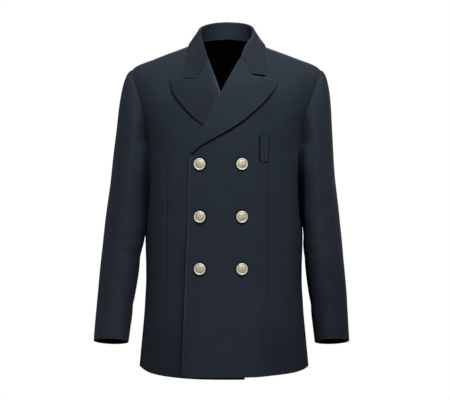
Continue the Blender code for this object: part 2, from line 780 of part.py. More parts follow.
def collar_half(edge_x, line, end, offset_at):
    """The middle surface of half the collar: stand, fold and leaf, centre back to gorge."""
    seam, seam_normals = collar_seam(edge_x)
    gorge_z = float(height_on_row(edge_x, upper_turns()[GORGE_ROWS - 1]))
    stations = len(seam)
    frames = fold_frames(edge_x, np.array([gorge_z]), np.array([FOLD_RADIUS]), offset_at)
    middle, out, inward = [row[0] for row in frames]

    fold = np.stack([line["fold_x"], line["fold_y"], line["fold_z"]], axis=-1)
    lying, lying_normals = resting_on(fold[:, 0], fold[:, 1])
    on_front = (fold[:, 2] == 0)[:, None]
    fold = np.where(on_front, lying + (FOLD_RADIUS - WALL) * lying_normals, fold)
    fold = np.concatenate([fold, [middle - FOLD_RADIUS * inward]])
    along = unit(np.gradient(fold, axis=0))
    along[0] = (1, 0, 0)
    up = fold - seam
    up[-1] = -inward
    up = unit(up - np.sum(up * along, axis=-1, keepdims=True) * along)
    outward = unit(np.cross(along, up))
    outward = np.where(np.sum(outward * seam_normals, axis=-1, keepdims=True) < 0, -outward, outward)
    up[-1], outward[-1] = -inward, out
    centre = fold - FOLD_RADIUS * up
    centre[-1] = middle
    radii = np.full(stations, FOLD_RADIUS)
    turning = fold_columns(centre, outward, -up, radii)

    share = np.concatenate([np.zeros(stations - FRONT_STATIONS - 1), np.linspace(0, 1, FRONT_STATIONS + 1)])
    foot = seam + STAND_GAP * up - (0.5 * WALL * share)[:, None] * seam_normals
    foot[-1] = turning[0][-1] + FOLD_LEG * inward
    columns = [foot, (foot + turning[0]) / 2] + turning

    edge, edge_normals = resting_on(line["edge_x"], line["edge_y"])
    edge = edge + line["off"][:, None] * edge_normals
    start = turning[-1]
    gorge_start = np.array([float(edge_x(gorge_z)) + FOLD_RADIUS, gorge_z])
    places = np.stack([end["x"], end["z"]], axis=-1)
    lying, normals = front_at(places[:, 0], places[:, 1])
    away = np.linalg.norm(places - gorge_start, axis=-1)
    ending = lying + (offset_at(lying) + leaf_height(away, FOLD_RADIUS))[:, None] * normals
    edge = np.concatenate([edge, ending[-1:]])
    weight = np.array(COLLAR_END_SHARE)[:, None]
    for i in range(1, HEAD_COLUMNS + 1):
        q = i / HEAD_COLUMNS
        leaf = start + q * (edge - start)
        leaf = leaf + COLLAR_BULGE * math.sin(math.pi * q) * (1 - weight) * outward
        leaf = leaf + weight * (ending[i - 1] - leaf[-1])
        lying, normals = resting_on(leaf[:, 0], leaf[:, 1])
        short = COLLAR_CLEAR - np.sum((leaf - lying) * normals, axis=-1)
        pushed = leaf + np.maximum(short, 0)[:, None] * normals
        leaf = np.where(weight < 1, pushed, leaf)
        columns.append(leaf)
    return np.stack(columns, axis=1)


def build_collar(material):
    left = collar_half(top_edge_x, LEFT_COLLAR, LEFT_COLLAR_END, lap_offset)
    right = mirrored(collar_half(under_edge_x, RIGHT_COLLAR, RIGHT_COLLAR_END, no_lap), -1)
    grid = np.concatenate([right[:0:-1], left])
    normals = sheet_normals(grid)
    walls = [
        lean(opened(grid + sign * WALL / 2 * normals, bottom=GORGE_GAP / 2, top=GORGE_GAP / 2))
        for sign in (1, -1)
    ]
    add_wall("collar", *walls, material)


def build_backs_and_sides(material):
    back, back_normals = back_grid()
    side, side_normals = side_grid()
    for word, sign in (("left", 1), ("right", -1)):
        add_panel(
            f"back_{word}", back, back_normals, sign, material,
            left=SEAM_GAP / 2, right=SEAM_GAP / 2, top=SEAM_GAP / 2,
        )
        add_panel(
            f"side_panel_{word}", side, side_normals, sign, material,
            left=SEAM_GAP / 2, right=SEAM_GAP / 2,
        )


def armhole_loop():
    """The armhole seam, from the shoulder down the front, under, and up the back."""
    front, front_normals = front_grid(top_edge_x, fold_room(top_radius), SIDE_HEM_Z)
    back, back_normals = back_grid()
    side, side_normals = side_grid()
    points = np.concatenate([
        front[: LOWER_ROWS - 1 : -1, -1],
        side[-1, 1:-1],
        back[LOWER_ROWS:, -1],
    ])
    normals = np.concatenate([
        front_normals[: LOWER_ROWS - 1 : -1, -1],
        side_normals[-1, 1:-1],
        back_normals[LOWER_ROWS:, -1],
    ])
    return points, normals


def loop_angles(points):
    """Angle round the sleeve for each point of the armhole: 0 outside, 90 in front."""
    steps = np.linalg.norm(np.diff(points, axis=0), axis=1)
    reach = np.concatenate([[0], np.cumsum(steps)])
    return 2 * math.pi * reach / reach[-1]


def crease_depth(angle, z):
    total = np.zeros(np.broadcast(angle, z).shape)
    for height, middle, half_angle, half_height, depth, slant in CREASES:
        turn = (np.degrees(angle) - middle + 180) % 360 - 180
        rise = (z / MM - height - slant * turn / half_angle) / half_height
        total += depth * MM * np.exp(-((turn / half_angle) ** 2) - rise**2)
    return total


def sleeve_ring(angle, z, swing):
    """Point of the sleeve at an angle round it and a level down the arm."""
    outer = column(SLEEVE, "z", "outer")(z)
    inner = column(SLEEVE, "z", "inner")(z)
    middle_y = column(SLEEVE, "z", "middle_y")(z)
    half_depth = column(SLEEVE, "z", "half_depth")(z)
    order = np.argsort(SLEEVE_TILT["z"])
    tilt = np.radians(curve(SLEEVE_TILT["z"][order], SLEEVE_TILT["degrees"][order])(z))
    reach = (outer - inner) / 2
    sine, cosine = math.sin(SLEEVE_TOE_IN), math.cos(SLEEVE_TOE_IN)
    half_width = np.sqrt(np.maximum(reach**2 - (half_depth * sine) ** 2, 1e-6)) / cosine
    press = crease_depth(angle, z)
    across = (half_width - press) * np.cos(angle)
    along = -(half_depth - press) * np.sin(angle)
    x = (outer + inner) / 2 + across * cosine + along * sine
    y = middle_y - across * sine * 0.6 + along * cosine
    share = (CAP_FOOT_Z - z) / (CAP_FOOT_Z - CUFF_Z)
    z = z - np.tan(tilt) * (y - middle_y) + CUFF_RISE * share * (x - (outer + inner) / 2)
    return np.stack([x + swing * (0.45 + 0.55 * share), y, z], axis=-1)


def sleeve_points(side):
    """The sleeve's grid: rows from the armhole to the cuff, columns round it."""
    start, body_normals = armhole_loop()
    angles = loop_angles(start)
    start_leaned = lean(mirrored(start, side))
    swing = CUFF_SWING * side
    foot = mirrored(sleeve_ring(angles, np.full(len(angles), CAP_FOOT_Z), swing), side)
    under = mirrored(sleeve_ring(angles, np.full(len(angles), CAP_FOOT_Z - 10 * MM), swing), side)
    down = (under - foot) / (10 * MM)
    low = 0.5 - 0.5 * np.cos(angles)
    leave = unit(np.stack([
        side * (1.0 - 0.80 * low),
        -0.42 * np.sin(angles),
        -0.30 - 0.70 * low - 0.10 * np.abs(np.sin(angles)),
    ], axis=-1))
    normals = mirrored(body_normals, side)
    seam = start_leaned + SEAM_GAP * leave + (0.9 * MM * low)[:, None] * normals
    span = np.linalg.norm(foot - seam, axis=-1)
    lead = (12 * MM + 22 * MM * (1 - low))[:, None]
    first = seam + lead * leave
    last = foot - down * (0.36 * span)[:, None]
    rows = []
    for i in range(CAP_ROWS):
        t = (i / CAP_ROWS) ** 1.35
        rows.append(
            seam * (1 - t) ** 3 + first * 3 * t * (1 - t) ** 2
            + last * 3 * t * t * (1 - t) + foot * t**3
        )
    for z in np.linspace(CAP_FOOT_Z, CUFF_Z, SLEEVE_ROWS - CAP_ROWS + 1):
        rows.append(mirrored(sleeve_ring(angles, np.full(len(angles), z), swing), side))
    return np.array(rows)


def tube_normals(grid):
    """Outward normals of a tube grid whose last column repeats its first."""
    ring = grid[:, :-1]
    around = np.roll(ring, -1, axis=1) - np.roll(ring, 1, axis=1)
    down = np.gradient(ring, axis=0)
    normals = unit(np.cross(around, down))
    middle = ring.mean(axis=1, keepdims=True)
    if np.sum(normals * (ring - middle)) < 0:
        normals = -normals
    return np.concatenate([normals, normals[:, :1]], axis=1)


# Columns of the sleeve where the front seam and the hind seam run
FRONT_SEAM_COLUMN = UPPER_ROWS
HIND_SEAM_COLUMN = UPPER_ROWS + SIDE_COLUMNS + 5


def build_sleeves(material):
    for word, side in (("left", 1), ("right", -1)):
        outer = sleeve_points(side)
        inner = outer - WALL * tube_normals(outer)
        around = outer.shape[1] - 1
        top = [c % around for c in range(HIND_SEAM_COLUMN, around + FRONT_SEAM_COLUMN + 1)]
        under = list(range(FRONT_SEAM_COLUMN, HIND_SEAM_COLUMN + 1))
        for piece, columns in (("top_sleeve", top), ("under_sleeve", under)):
            walls = [
                opened(grid[:, columns], left=SLEEVE_SEAM_GAP / 2, right=SLEEVE_SEAM_GAP / 2)
                for grid in (outer, inner)
            ]
            add_wall(f"{piece}_{word}", *walls, material)


def place_on_front(x, z, height):
    """A frame on the top front: a point above the cloth, and across, up and out."""
    point, normal = front_at(np.array([x]), np.array([z]))
    beside = front_at(np.array([x + MM]), np.array([z]))[0]
    point = point + (lap_offset(point) + height)[:, None] * normal
    point, normal = lean(point)[0], normal[0]
    across = unit((beside - point)[0] - np.dot((beside - point)[0], normal) * normal)
    return point, across, unit(np.cross(normal, across)), normal


# Button section from the middle of its back round to the middle of its face
BUTTON_SECTION = table("radius height", (
    (3, 0), (3, 1.6), (11.2, 1.6), (12.9, 2.3), (13.1, 3.2), (12.4, 4.2), (11.2, 4.4),
    (10.5, 3.9), (8.0, 4.9), (4.4, 5.8),
))
BUTTON_CROWN = 6.1 * MM


def build_buttons(material):
    number = 0
    for z in BUTTON_ROWS_Z:
        for x in BUTTON_COLUMNS_X:
            number += 1
            point, across, up, out = place_on_front(x, z, BUTTON_LIFT)
            points = [point]
            for radius, height in zip(BUTTON_SECTION["radius"], BUTTON_SECTION["height"]):
                for k in range(BUTTON_SIDES):
                    turn = 2 * math.pi * k / BUTTON_SIDES
                    points.append(
                        point + height * out
                        + radius * (math.cos(turn) * across + math.sin(turn) * up)
                    )
            points.append(point + BUTTON_CROWN * out)
            last = len(points) - 1
            rings = len(BUTTON_SECTION["radius"])
            faces = []
            for k in range(BUTTON_SIDES):
                n = (k + 1) % BUTTON_SIDES
                faces.append([0, 1 + n, 1 + k])
                for i in range(rings - 1):
                    a, b = 1 + i * BUTTON_SIDES, 1 + (i + 1) * BUTTON_SIDES
                    faces.append([a + k, a + n, b + n, b + k])
                top = 1 + (rings - 1) * BUTTON_SIDES
                faces.append([top + k, top + n, last])
            add_object(f"button_{number}", points, faces, material, smooth_angle=50)


def build_tab(material):
    middle_z = (TAB_TOP_Z + TAB_LOW_Z) / 2
    point, across, up, out = place_on_front(TAB_CENTRE_X, middle_z, TAB_STANDOFF)
    half_width, half_length = TAB_WIDTH / 2, (TAB_TOP_Z - TAB_LOW_Z) / 2
    cut = TAB_CORNER
    outline = [
        (-half_width, half_length), (half_width, half_length),
        (half_width, -half_length + cut / 2), (half_width - cut / 2, -half_length),
        (-half_width + cut, -half_length), (-half_width, -half_length + cut),
    ]
    count = len(outline)
    points = [
        point + a * across + b * up + height * out
        for height in (0.0, TAB_THICK) for a, b in outline
    ]
    faces = [list(range(count)), list(range(2 * count - 1, count - 1, -1))]
    for k in range(count):
        n = (k + 1) % count
        faces.append([k, k + count, n + count, n])
    add_object("badge_tab", points, faces, material)


def main():
    remove_all()
    serge = make_material("navy_serge", (0.018, 0.022, 0.034), 0.8)
    build_fronts(serge)
    build_lapels(serge)
    build_collar(serge)
    build_tab(serge)
    build_buttons(make_material("nickel", (0.62, 0.58, 0.46), 0.3, metallic=1.0))
    build_backs_and_sides(serge)
    build_sleeves(serge)


main()
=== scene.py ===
# %% [markdown]
# # A double-breasted dress jacket, filled out with no wearer
# The jacket is navy wool serge, cut in panels, pressed over a chest form and lined in
# black satin. It hangs as it is worn: a hollow shell, open at the neck, the hem and the
# cuffs. This lesson builds each cut piece as a thin shell of cloth on the form that its
# solid gives, then adds what a needle and an iron leave behind.

# %% Load the fixed frame
import math

import bpy
import numpy as np
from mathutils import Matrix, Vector


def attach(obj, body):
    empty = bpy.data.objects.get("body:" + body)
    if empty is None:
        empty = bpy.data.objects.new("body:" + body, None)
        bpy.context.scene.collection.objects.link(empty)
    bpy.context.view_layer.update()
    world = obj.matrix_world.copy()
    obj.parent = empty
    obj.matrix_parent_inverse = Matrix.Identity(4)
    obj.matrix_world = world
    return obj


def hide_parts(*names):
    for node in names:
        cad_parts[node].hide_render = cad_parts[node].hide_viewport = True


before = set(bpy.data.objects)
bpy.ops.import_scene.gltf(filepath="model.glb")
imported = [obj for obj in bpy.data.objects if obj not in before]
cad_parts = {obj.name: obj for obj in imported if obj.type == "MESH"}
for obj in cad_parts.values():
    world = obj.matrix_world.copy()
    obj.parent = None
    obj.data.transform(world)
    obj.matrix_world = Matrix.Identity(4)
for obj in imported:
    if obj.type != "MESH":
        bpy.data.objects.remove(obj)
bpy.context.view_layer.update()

MM = 0.001
scene = bpy.context.scene

# %% [markdown]
# ## Camera
# A garment is photographed from the height of its middle with a long lens, so that the
# shoulders and the hem look alike in scale. A 75 mm lens, 2.25 m away, gives 2.4 mm a
# pixel at the middle of the jacket.

# %% Camera
IMAGE_WIDTH = 450
CAMERA_PLACE = (0.0024, -2.25, -0.363)
LENS, SENSOR = 75.0, 36.0

camera_data = bpy.data.cameras.new("camera")
camera_data.lens = LENS
camera_data.sensor_width = SENSOR
camera = bpy.data.objects.new("camera", camera_data)
camera.location = CAMERA_PLACE
camera.rotation_euler = (math.radians(90), 0, 0)
scene.collection.objects.link(camera)
scene.camera = camera
print("mm a pixel:", round(-CAMERA_PLACE[1] / MM * SENSOR / LENS / IMAGE_WIDTH, 3))

# %% [markdown]
# ## Light and floor
# The cloth is nearly black, so it is lit by large soft boxes: a key high in front, one
# above the shoulders, a weak wide fill at the front on the other side, and a strong one
# behind, which lights the back alone. The room itself is white to the camera and gives
# the cloth a low even light from all sides.

# %% Lights
SOFT_BOXES = (
    # name, place, the point it faces, width and height in metres, watts
    ("key", (0.22, -1.7, 1.35), (0, 0, -0.1), (0.9, 0.7), 56.0),
    ("fill", (-0.9, -2.9, -0.3), (0, 0, -0.4), (1.8, 1.8), 13.0),
    ("behind", (0.3, 2.6, 0.7), (0, 0, -0.3), (1.8, 1.6), 58.0),
    ("above", (0.4, -0.3, 2.0), (0, 0, -0.2), (1.4, 1.0), 20.0),
)
ROOM_LIGHT = 0.13
FLOOR_HEIGHT, FLOOR_RADIUS, FLOOR_SIDES = -1.45, 1.3, 64


def srgb(code):
    """An sRGB hex value as linear red, green, blue and alpha, by the standard's formula."""
    parts = [int(code[i:i + 2], 16) / 255 for i in (1, 3, 5)]
    linear = [c / 12.92 if c <= 0.04045 else ((c + 0.055) / 1.055) ** 2.4 for c in parts]
    return (*linear, 1.0)


def add_node(tree, kind, inputs=(), **settings):
    """Adds one node with its settings; inputs pairs a socket with a value or a link."""
    node = tree.nodes.new(kind)
    for name, value in settings.items():
        setattr(node, name, value)
    for socket, value in dict(inputs).items():
        if isinstance(value, bpy.types.NodeSocket):
            tree.links.new(value, node.inputs[socket])
        else:
            node.inputs[socket].default_value = value
    return node


def soft_box(name, place, aim, size, power):
    data = bpy.data.lights.new(name, "AREA")
    data.shape = "RECTANGLE"
    data.size, data.size_y = size
    data.energy = power
    light = bpy.data.objects.new(name, data)
    light.location = place
    way = Vector(aim) - Vector(place)
    light.rotation_euler = way.to_track_quat("-Z", "Y").to_euler()
    scene.collection.objects.link(light)


for box in SOFT_BOXES:
    soft_box(*box)
print("soft boxes:", [box[0] for box in SOFT_BOXES])

# %% Room and floor
room = bpy.data.worlds.new("white room")
room.use_nodes = True
room.node_tree.nodes.clear()
seen = add_node(room.node_tree, "ShaderNodeLightPath")
glow, plain = [
    add_node(room.node_tree, "ShaderNodeBackground", {"Color": srgb("#ffffff"), "Strength": strength})
    for strength in (ROOM_LIGHT, 1.0)
]
either = add_node(room.node_tree, "ShaderNodeMixShader", {
    0: seen.outputs["Is Camera Ray"], 1: glow.outputs[0], 2: plain.outputs[0],
})
add_node(room.node_tree, "ShaderNodeOutputWorld", {"Surface": either.outputs[0]})
scene.world = room
scene.view_settings.view_transform = "Standard"

floor_mesh = bpy.data.meshes.new("floor")
ring = [(FLOOR_RADIUS * math.cos(a), FLOOR_RADIUS * math.sin(a), FLOOR_HEIGHT)
        for a in np.linspace(0, 2 * math.pi, FLOOR_SIDES, endpoint=False)]
floor_mesh.from_pydata(ring, [], [list(range(FLOOR_SIDES))])
floor = bpy.data.objects.new("floor", floor_mesh)
scene.collection.objects.link(floor)
paper = bpy.data.materials.new("matt_backdrop_paper")
paper.use_nodes = True
paper_shader = paper.node_tree.nodes["Principled BSDF"]
paper_shader.inputs["Base Color"].default_value = srgb("#e9e9e7")
paper_shader.inputs["Roughness"].default_value = 0.9
floor_mesh.materials.append(paper)
print("floor:", FLOOR_RADIUS, "m round, at", FLOOR_HEIGHT, "m")

# %% [markdown]
# ## The form
# A tailor cuts flat cloth, but the iron sets it to a form. Every piece here lies on one
# torso form or one sleeve form, written as short tables: a section at each height, and
# the seams as curves on it. They are the same tables as the solids were made from, so
# each shell lands in its solid's place. A sculpted mesh could hold the form too, but
# tables let every seam and edge be found again as an exact curve.

# %% Cloth, seams and levels
WALL = 2.0 * MM
SEAM_GAP = 0.4 * MM
GORGE_GAP = 0.8 * MM
NECK_GAP = 1.4 * MM
CHEST_Z = -235.0 * MM
WAIST_Z = -545.0 * MM
SIDE_HEM_Z = -757.0 * MM
TOP_HEM_Z = -763.5 * MM
UNDER_HEM_Z = -768.5 * MM
BACK_HEM_Z = -757.0 * MM
ARMHOLE_LOW_Z = -262.0 * MM
NECK_X = 76.0 * MM
FRONT_ROUND, BACK_ROUND = 2.3, 2.5
ARMHOLE_SCOOP = 0.8
LAP = 5.8 * MM
LAP_INNER_X, LAP_OUTER_X = 70.0 * MM, 118.0 * MM
LAP_FULL_Z, LAP_NONE_Z = -105.0 * MM, -45.0 * MM
SHOULDER_LEAN = 5.4 * MM
LEAN_LOW_Z, LEAN_HIGH_Z = -200.0 * MM, -50.0 * MM
GORGE_ROWS, NECK_ROWS, NECK_COLUMNS, BACK_COLUMNS, SIDE_COLUMNS = 8, 4, 4, 9, 5
print("wall", WALL, "m; chest to hem", round(CHEST_Z - SIDE_HEM_Z, 3), "m")


# %% Tables of the torso
def table(names, rows):
    """A short table as one array for each named column, in metres."""
    columns = np.array(rows, float).T * MM
    return dict(zip(names.split(), columns))


# Torso sections from the hem up: half width, and depth in front and behind
TORSO = table("z half_width front back", (
    (-790, 204.5, 138, 131), (-754, 201.5, 138, 130), (-675, 194.5, 137, 129),
    (-618, 189.5, 135, 124), (-545, 185.8, 132, 114), (-445, 188.5, 134, 114),
    (-390, 185.5, 137, 119), (-320, 183.0, 140, 126), (-235, 183.0, 142, 130),
))

# Above the chest the half widths open out to the shoulders
YOKE = table("z front_half back_half", (
    (-235, 183, 183), (-212, 187, 192), (-186, 195, 205), (-158, 207, 217), (-136, 217, 224),
    (-111, 226, 231), (-82, 235, 239), (-51, 243, 246), (-20, 250, 252), (90, 262, 262),
))

# The shoulder ridge, which the front and the back share beyond the neck
RIDGE = table("x front back", (
    (0, 38, 45), (20, 35.5, 42), (40, 28.5, 33), (60, 19.5, 20.5), (76, 11, 11), (101, 0.5, 0.5),
    (138, -13, -13), (176, -27.4, -27.4), (205, -38, -38), (216, -43.5, -43.5),
    (226, -51.5, -51.5), (245, -72, -72),
))
NAPE_RISE, NAPE_SPREAD, NAPE_POWER = 60.0 * MM, 76.0 * MM, 3

# Armhole seam on the front and on the back, from the side panel up to the shoulder
ARMHOLE = table("z front_x back_x", (
    (-235, 179.5, 174.5), (-212, 183.5, 184), (-186, 187, 193), (-158, 191.5, 201),
    (-136, 198, 206.5), (-111, 206.6, 213), (-82, 217, 220), (-51.5, 226, 226),
))

# Side panel seams, as thousandths of the half width in front of and behind the side
SIDE_SEAMS = table("z ahead behind", (
    (-790, 968, 850), (-618, 974, 870), (-445, 978, 900), (-320, 980, 935), (-235, 980.9, 953.6),
))

# Inner edge of each front: the front edge up to the lapel, the roll line, the neck seam
TOP_EDGE = table("z x", (
    (-790, -96), (-761, -95), (-640, -90.5), (-518, -85.5), (-400, -80.5), (-262, -77.5),
    (-228, -61.5), (-191, -42.3), (-150, -24.5), (-115, -6.8), (-90, 4.7), (-64, 17.4),
    (-39, 31.2), (-12, 55), (11, 76),
))
UNDER_EDGE = table("z x", (
    (-790, -46), (-766, -47), (-640, -52), (-518, -57), (-400, -61), (-262, -63),
    (-191, -25), (-150, -4.9), (-115, 12.2), (-90, 21.8), (-64, 32.2), (-39, 41.2),
    (-12, 58), (11, 76),
))
BREAK_Z, FOLD_END_Z = -261.0 * MM, -256.0 * MM
GORGE_Z, GORGE_X = -39.0 * MM, 36.0 * MM

# Soft hollows in the torso cloth: degrees round from the centre front, height, spreads, depth
HOLLOWS = (
    (74, -300, 13, 150, 2.6), (-74, -290, 13, 150, 3.0), (63, -600, 9, 190, 2.2),
    (-66, -610, 10, 190, 2.8), (40, -680, 10, 150, 1.4), (148, -300, 11, 160, 3.4),
    (-148, -300, 11, 160, 3.4), (128, -640, 11, 170, 2.2), (-130, -630, 11, 170, 2.2),
    (180, -520, 22, 110, 3.2),
)
print("torso sections:", len(TORSO["z"]), "soft hollows:", len(HOLLOWS))


# %% Smooth curves through a table
def curve(xs, ys):
    """A smooth curve through a table's points that doesn't overshoot them."""
    steps = np.diff(xs)
    slopes = np.diff(ys) / steps
    ends = np.zeros(len(xs))
    before, after = slopes[:-1], slopes[1:]
    same_way = before * after > 0
    ends[1:-1][same_way] = (2 * before * after / (before + after + 1e-30))[same_way]
    ends[0], ends[-1] = slopes[0], slopes[-1]

    def at(x):
        x = np.asarray(x, float)
        i = np.clip(np.searchsorted(xs, x) - 1, 0, len(steps) - 1)
        t = (x - xs[i]) / steps[i]
        rise = (3 - 2 * t) * t * t
        return (
            ys[i] * (1 - rise)
            + ys[i + 1] * rise
            + steps[i] * (ends[i] * t * (1 - t) ** 2 - ends[i + 1] * t * t * (1 - t))
        )

    return at


def column(rows, key, name):
    """A table's column as a smooth curve of its key column."""
    order = np.argsort(rows[key])
    return curve(rows[key][order], rows[name][order])


def ease(t):
    """0 before 0, 1 after 1, and smooth between."""
    t = np.clip(t, 0, 1)
    return t * t * (3 - 2 * t)


def fading(away, width):
    """1 at a line or a spot, and a smooth fall to nothing beside it."""
    return np.exp(-((away / width) ** 2))


def unit(vectors):
    return vectors / np.maximum(np.linalg.norm(vectors, axis=-1, keepdims=True), 1e-12)


torso_half = column(TORSO, "z", "half_width")
torso_front = column(TORSO, "z", "front")
torso_back = column(TORSO, "z", "back")
yoke_front_half = column(YOKE, "z", "front_half")
yoke_back_half = column(YOKE, "z", "back_half")
ridge_front = column(RIDGE, "x", "front")
ridge_back = column(RIDGE, "x", "back")
armhole_front_x = column(ARMHOLE, "z", "front_x")
armhole_back_x = column(ARMHOLE, "z", "back_x")
seam_ahead = column(SIDE_SEAMS, "z", "ahead")
seam_behind = column(SIDE_SEAMS, "z", "behind")
top_edge_x = column(TOP_EDGE, "z", "x")
under_edge_x = column(UNDER_EDGE, "z", "x")
print("half width at the waist:", round(float(torso_half(WAIST_Z)), 4), "m")


# %% The torso as a surface
SMALL_STEP = 1e-4
LEAST_TURN = 2e-4
ROUND_UPPER_X = 250.0 * MM
RIDGE_FACING = np.array([0.0, 0.0, 0.05])


def turned_by(angle, middle):
    """Degrees from a middle angle, the short way round."""
    return (np.degrees(angle) - middle + 180) % 360 - 180


def hollow_depth(angle, z):
    """How far the soft hollows push the cloth in, at an angle round the torso."""
    total = np.zeros(np.broadcast(angle, z).shape)
    for middle, height, half_angle, half_height, depth in HOLLOWS:
        rise = (z - height * MM) / (half_height * MM)
        total += depth * MM * np.exp(-((turned_by(angle, middle) / half_angle) ** 2) - rise**2)
    return total


def form_power(ahead):
    """How square the section is, in front or behind."""
    return np.where(ahead, FRONT_ROUND, BACK_ROUND)


def lower_torso(angle, z):
    """Point of the torso below the chest. The angle runs from the centre front."""
    ahead = np.cos(angle) > 0
    power = form_power(ahead)
    across, along = np.abs(np.sin(angle)), np.abs(np.cos(angle))
    size = (across**power + along**power) ** (-1 / power)
    x = np.sign(np.sin(angle)) * torso_half(z) * across * size
    depth = np.where(ahead, torso_front(z), torso_back(z)) * along * size
    return np.stack([x, np.where(ahead, -depth, depth), z + 0 * x], axis=-1)


print("half width at the chest:", round(float(torso_half(CHEST_Z)), 4), "m")


# %% The torso above the chest
def level(x, turn, ahead):
    """Height above the chest, on the fan of rows that run up to the shoulder ridge."""
    ridge = (ridge_front if ahead else ridge_back)(np.abs(x))
    nape = 0.0 if ahead else NAPE_RISE * np.clip(1 - (x / NAPE_SPREAD) ** 2, 0, 1) ** 2
    return CHEST_Z + (ridge - CHEST_Z) * np.cos(turn) + nape * np.cos(turn) ** NAPE_POWER


def upper_torso(x, turn, ahead):
    """Point above the chest. The turn runs from 90 degrees at the chest to 0 on the ridge."""
    z = level(x, turn, ahead)
    half = (yoke_front_half if ahead else yoke_back_half)(z)
    power = FRONT_ROUND if ahead else BACK_ROUND
    share = np.clip(np.abs(x) / half, 0, 1) ** power
    reach = float(torso_front(CHEST_Z) if ahead else -torso_back(CHEST_Z))
    y = -reach * (1 - share) ** (1 / power) * np.sin(turn)
    return np.stack([x + 0 * y, y, z], axis=-1)


print("top of the back at the centre:", round(float(level(0.0, 0.0, False)), 4), "m")


# %% Cloth on the torso, with its normals
def with_normal(surface, first, second, outward):
    """Points of a surface with their outward normals, from small steps each way."""
    points = surface(first, second)
    one = surface(first + SMALL_STEP, second) - surface(first - SMALL_STEP, second)
    two = surface(first, second + SMALL_STEP) - surface(first, second - SMALL_STEP)
    normals = unit(np.cross(one, two))
    turned = np.sum(normals * outward(points), axis=-1, keepdims=True) < 0
    return points, np.where(turned, -normals, normals)


def from_axis(points):
    return points * np.array([1.0, 1.0, 0.0])


def lower_cloth(angle, z):
    """Lower torso points and normals, with the soft hollows pressed in."""
    points, normals = with_normal(lower_torso, angle, z, from_axis)
    return points - hollow_depth(angle, z)[..., None] * normals, normals


def upper_cloth(x, turn, ahead):
    """Upper torso points and normals, with the same hollows running on up."""
    def surface(a, b):
        return upper_torso(a, b, ahead)

    def outward(points):
        return from_axis(points) + RIDGE_FACING

    points, normals = with_normal(surface, x, np.maximum(turn, LEAST_TURN), outward)
    reach = np.where(ahead, 1.0, -1.0)
    angle = np.arctan2(
        points[..., 0] / torso_half(CHEST_Z),
        reach * np.sqrt(np.maximum(1 - (points[..., 0] / ROUND_UPPER_X) ** 2, 0)),
    )
    fade = np.sin(turn)[..., None]
    return points - hollow_depth(angle, points[..., 2])[..., None] * fade * normals, normals


def angle_at(share, ahead):
    """Angle round the section where the width is this share of the half width."""
    power = FRONT_ROUND if ahead else BACK_ROUND
    share = np.clip(share, -0.99999, 0.99999)
    along = (1 - np.abs(share) ** power) ** (1 / power)
    return np.arctan2(share, along if ahead else -along)


print("front of the chest:", np.round(lower_cloth(np.array(0.0), np.array(CHEST_Z))[0], 4))


# %% Places on the torso
ROW_ROUNDS, RESTING_ROUNDS = 60, 12


def lean(points):
    """Shifts the shoulders and neck sideways, fading out down to the chest."""
    moved = np.array(points, float)
    share = ease((moved[..., 2] - LEAN_LOW_Z) / (LEAN_HIGH_Z - LEAN_LOW_Z))
    moved[..., 0] += SHOULDER_LEAN * share
    return moved


def mirrored(points, side):
    return points * np.array([side, 1.0, 1.0])


def upper_turns():
    """Rows above the chest, with one of them through the gorge."""
    ridge = float(ridge_front(GORGE_X))
    gorge = math.acos((GORGE_Z - CHEST_Z) / (ridge - CHEST_Z))
    below = np.linspace(math.pi / 2, gorge, GORGE_ROWS + 1)[1:]
    above = np.linspace(gorge, 0, NECK_ROWS + 1)[1:]
    return np.concatenate([below, above])


def height_on_row(edge, turn, ridge_at=ridge_front):
    """Height at which an edge curve crosses the rows that fan up to the shoulder."""
    z = CHEST_Z + 0 * turn
    for _ in range(ROW_ROUNDS):
        ridge = ridge_at(np.abs(edge(z)))
        z = 0.5 * z + 0.5 * (CHEST_Z + (ridge - CHEST_Z) * np.cos(turn))
    return z


print("rows above the chest:", len(upper_turns()))


# %% Places seen from the front and from above
def front_at(x, z):
    """Points and normals of the front, where it is seen at x and z from the front."""
    x, z = np.broadcast_arrays(np.asarray(x, float), np.asarray(z, float))
    low, low_normals = lower_cloth(angle_at(x / torso_half(z), True), np.minimum(z, CHEST_Z))
    cosine = (z - CHEST_Z) / (ridge_front(np.abs(x)) - CHEST_Z)
    high, high_normals = upper_cloth(x, np.arccos(np.clip(cosine, 0, 1)), True)
    above = (z > CHEST_Z)[..., None]
    return np.where(above, high, low), np.where(above, high_normals, low_normals)


def resting_on(x, y):
    """Points and normals of the shoulders, where they are seen at x and y from above."""
    x, y = np.broadcast_arrays(np.asarray(x, float), np.asarray(y, float))
    points, normals = np.zeros(x.shape + (3,)), np.zeros(x.shape + (3,))
    for ahead in (True, False):
        half_at = yoke_front_half if ahead else yoke_back_half
        power = FRONT_ROUND if ahead else BACK_ROUND
        reach = float(torso_front(CHEST_Z) if ahead else torso_back(CHEST_Z))
        z = level(x, 0 * x, ahead)
        for _ in range(RESTING_ROUNDS):
            size = (1 - np.clip(np.abs(x) / half_at(z), 0, 0.999) ** power) ** (1 / power)
            turn = np.arcsin(np.clip(np.abs(y) / (reach * size), 0, 1))
            z = level(x, turn, ahead)
        found, found_normals = upper_cloth(x, turn, ahead)
        here = ((y < 0) == ahead)[..., None]
        points = np.where(here, found, points)
        normals = np.where(here, found_normals, normals)
    return points, normals


def lap_offset(points):
    """How far the top front stands off the torso form."""
    near = 1 - ease((points[..., 0] - LAP_INNER_X) / (LAP_OUTER_X - LAP_INNER_X))
    low = 1 - ease((points[..., 2] - LAP_FULL_Z) / (LAP_NONE_Z - LAP_FULL_Z))
    return LAP * near * low


def no_lap(points):
    return np.zeros(points.shape[:-1])


print("shoulder seam starts at:", np.round(front_at(NECK_X, 0.011)[0], 4))

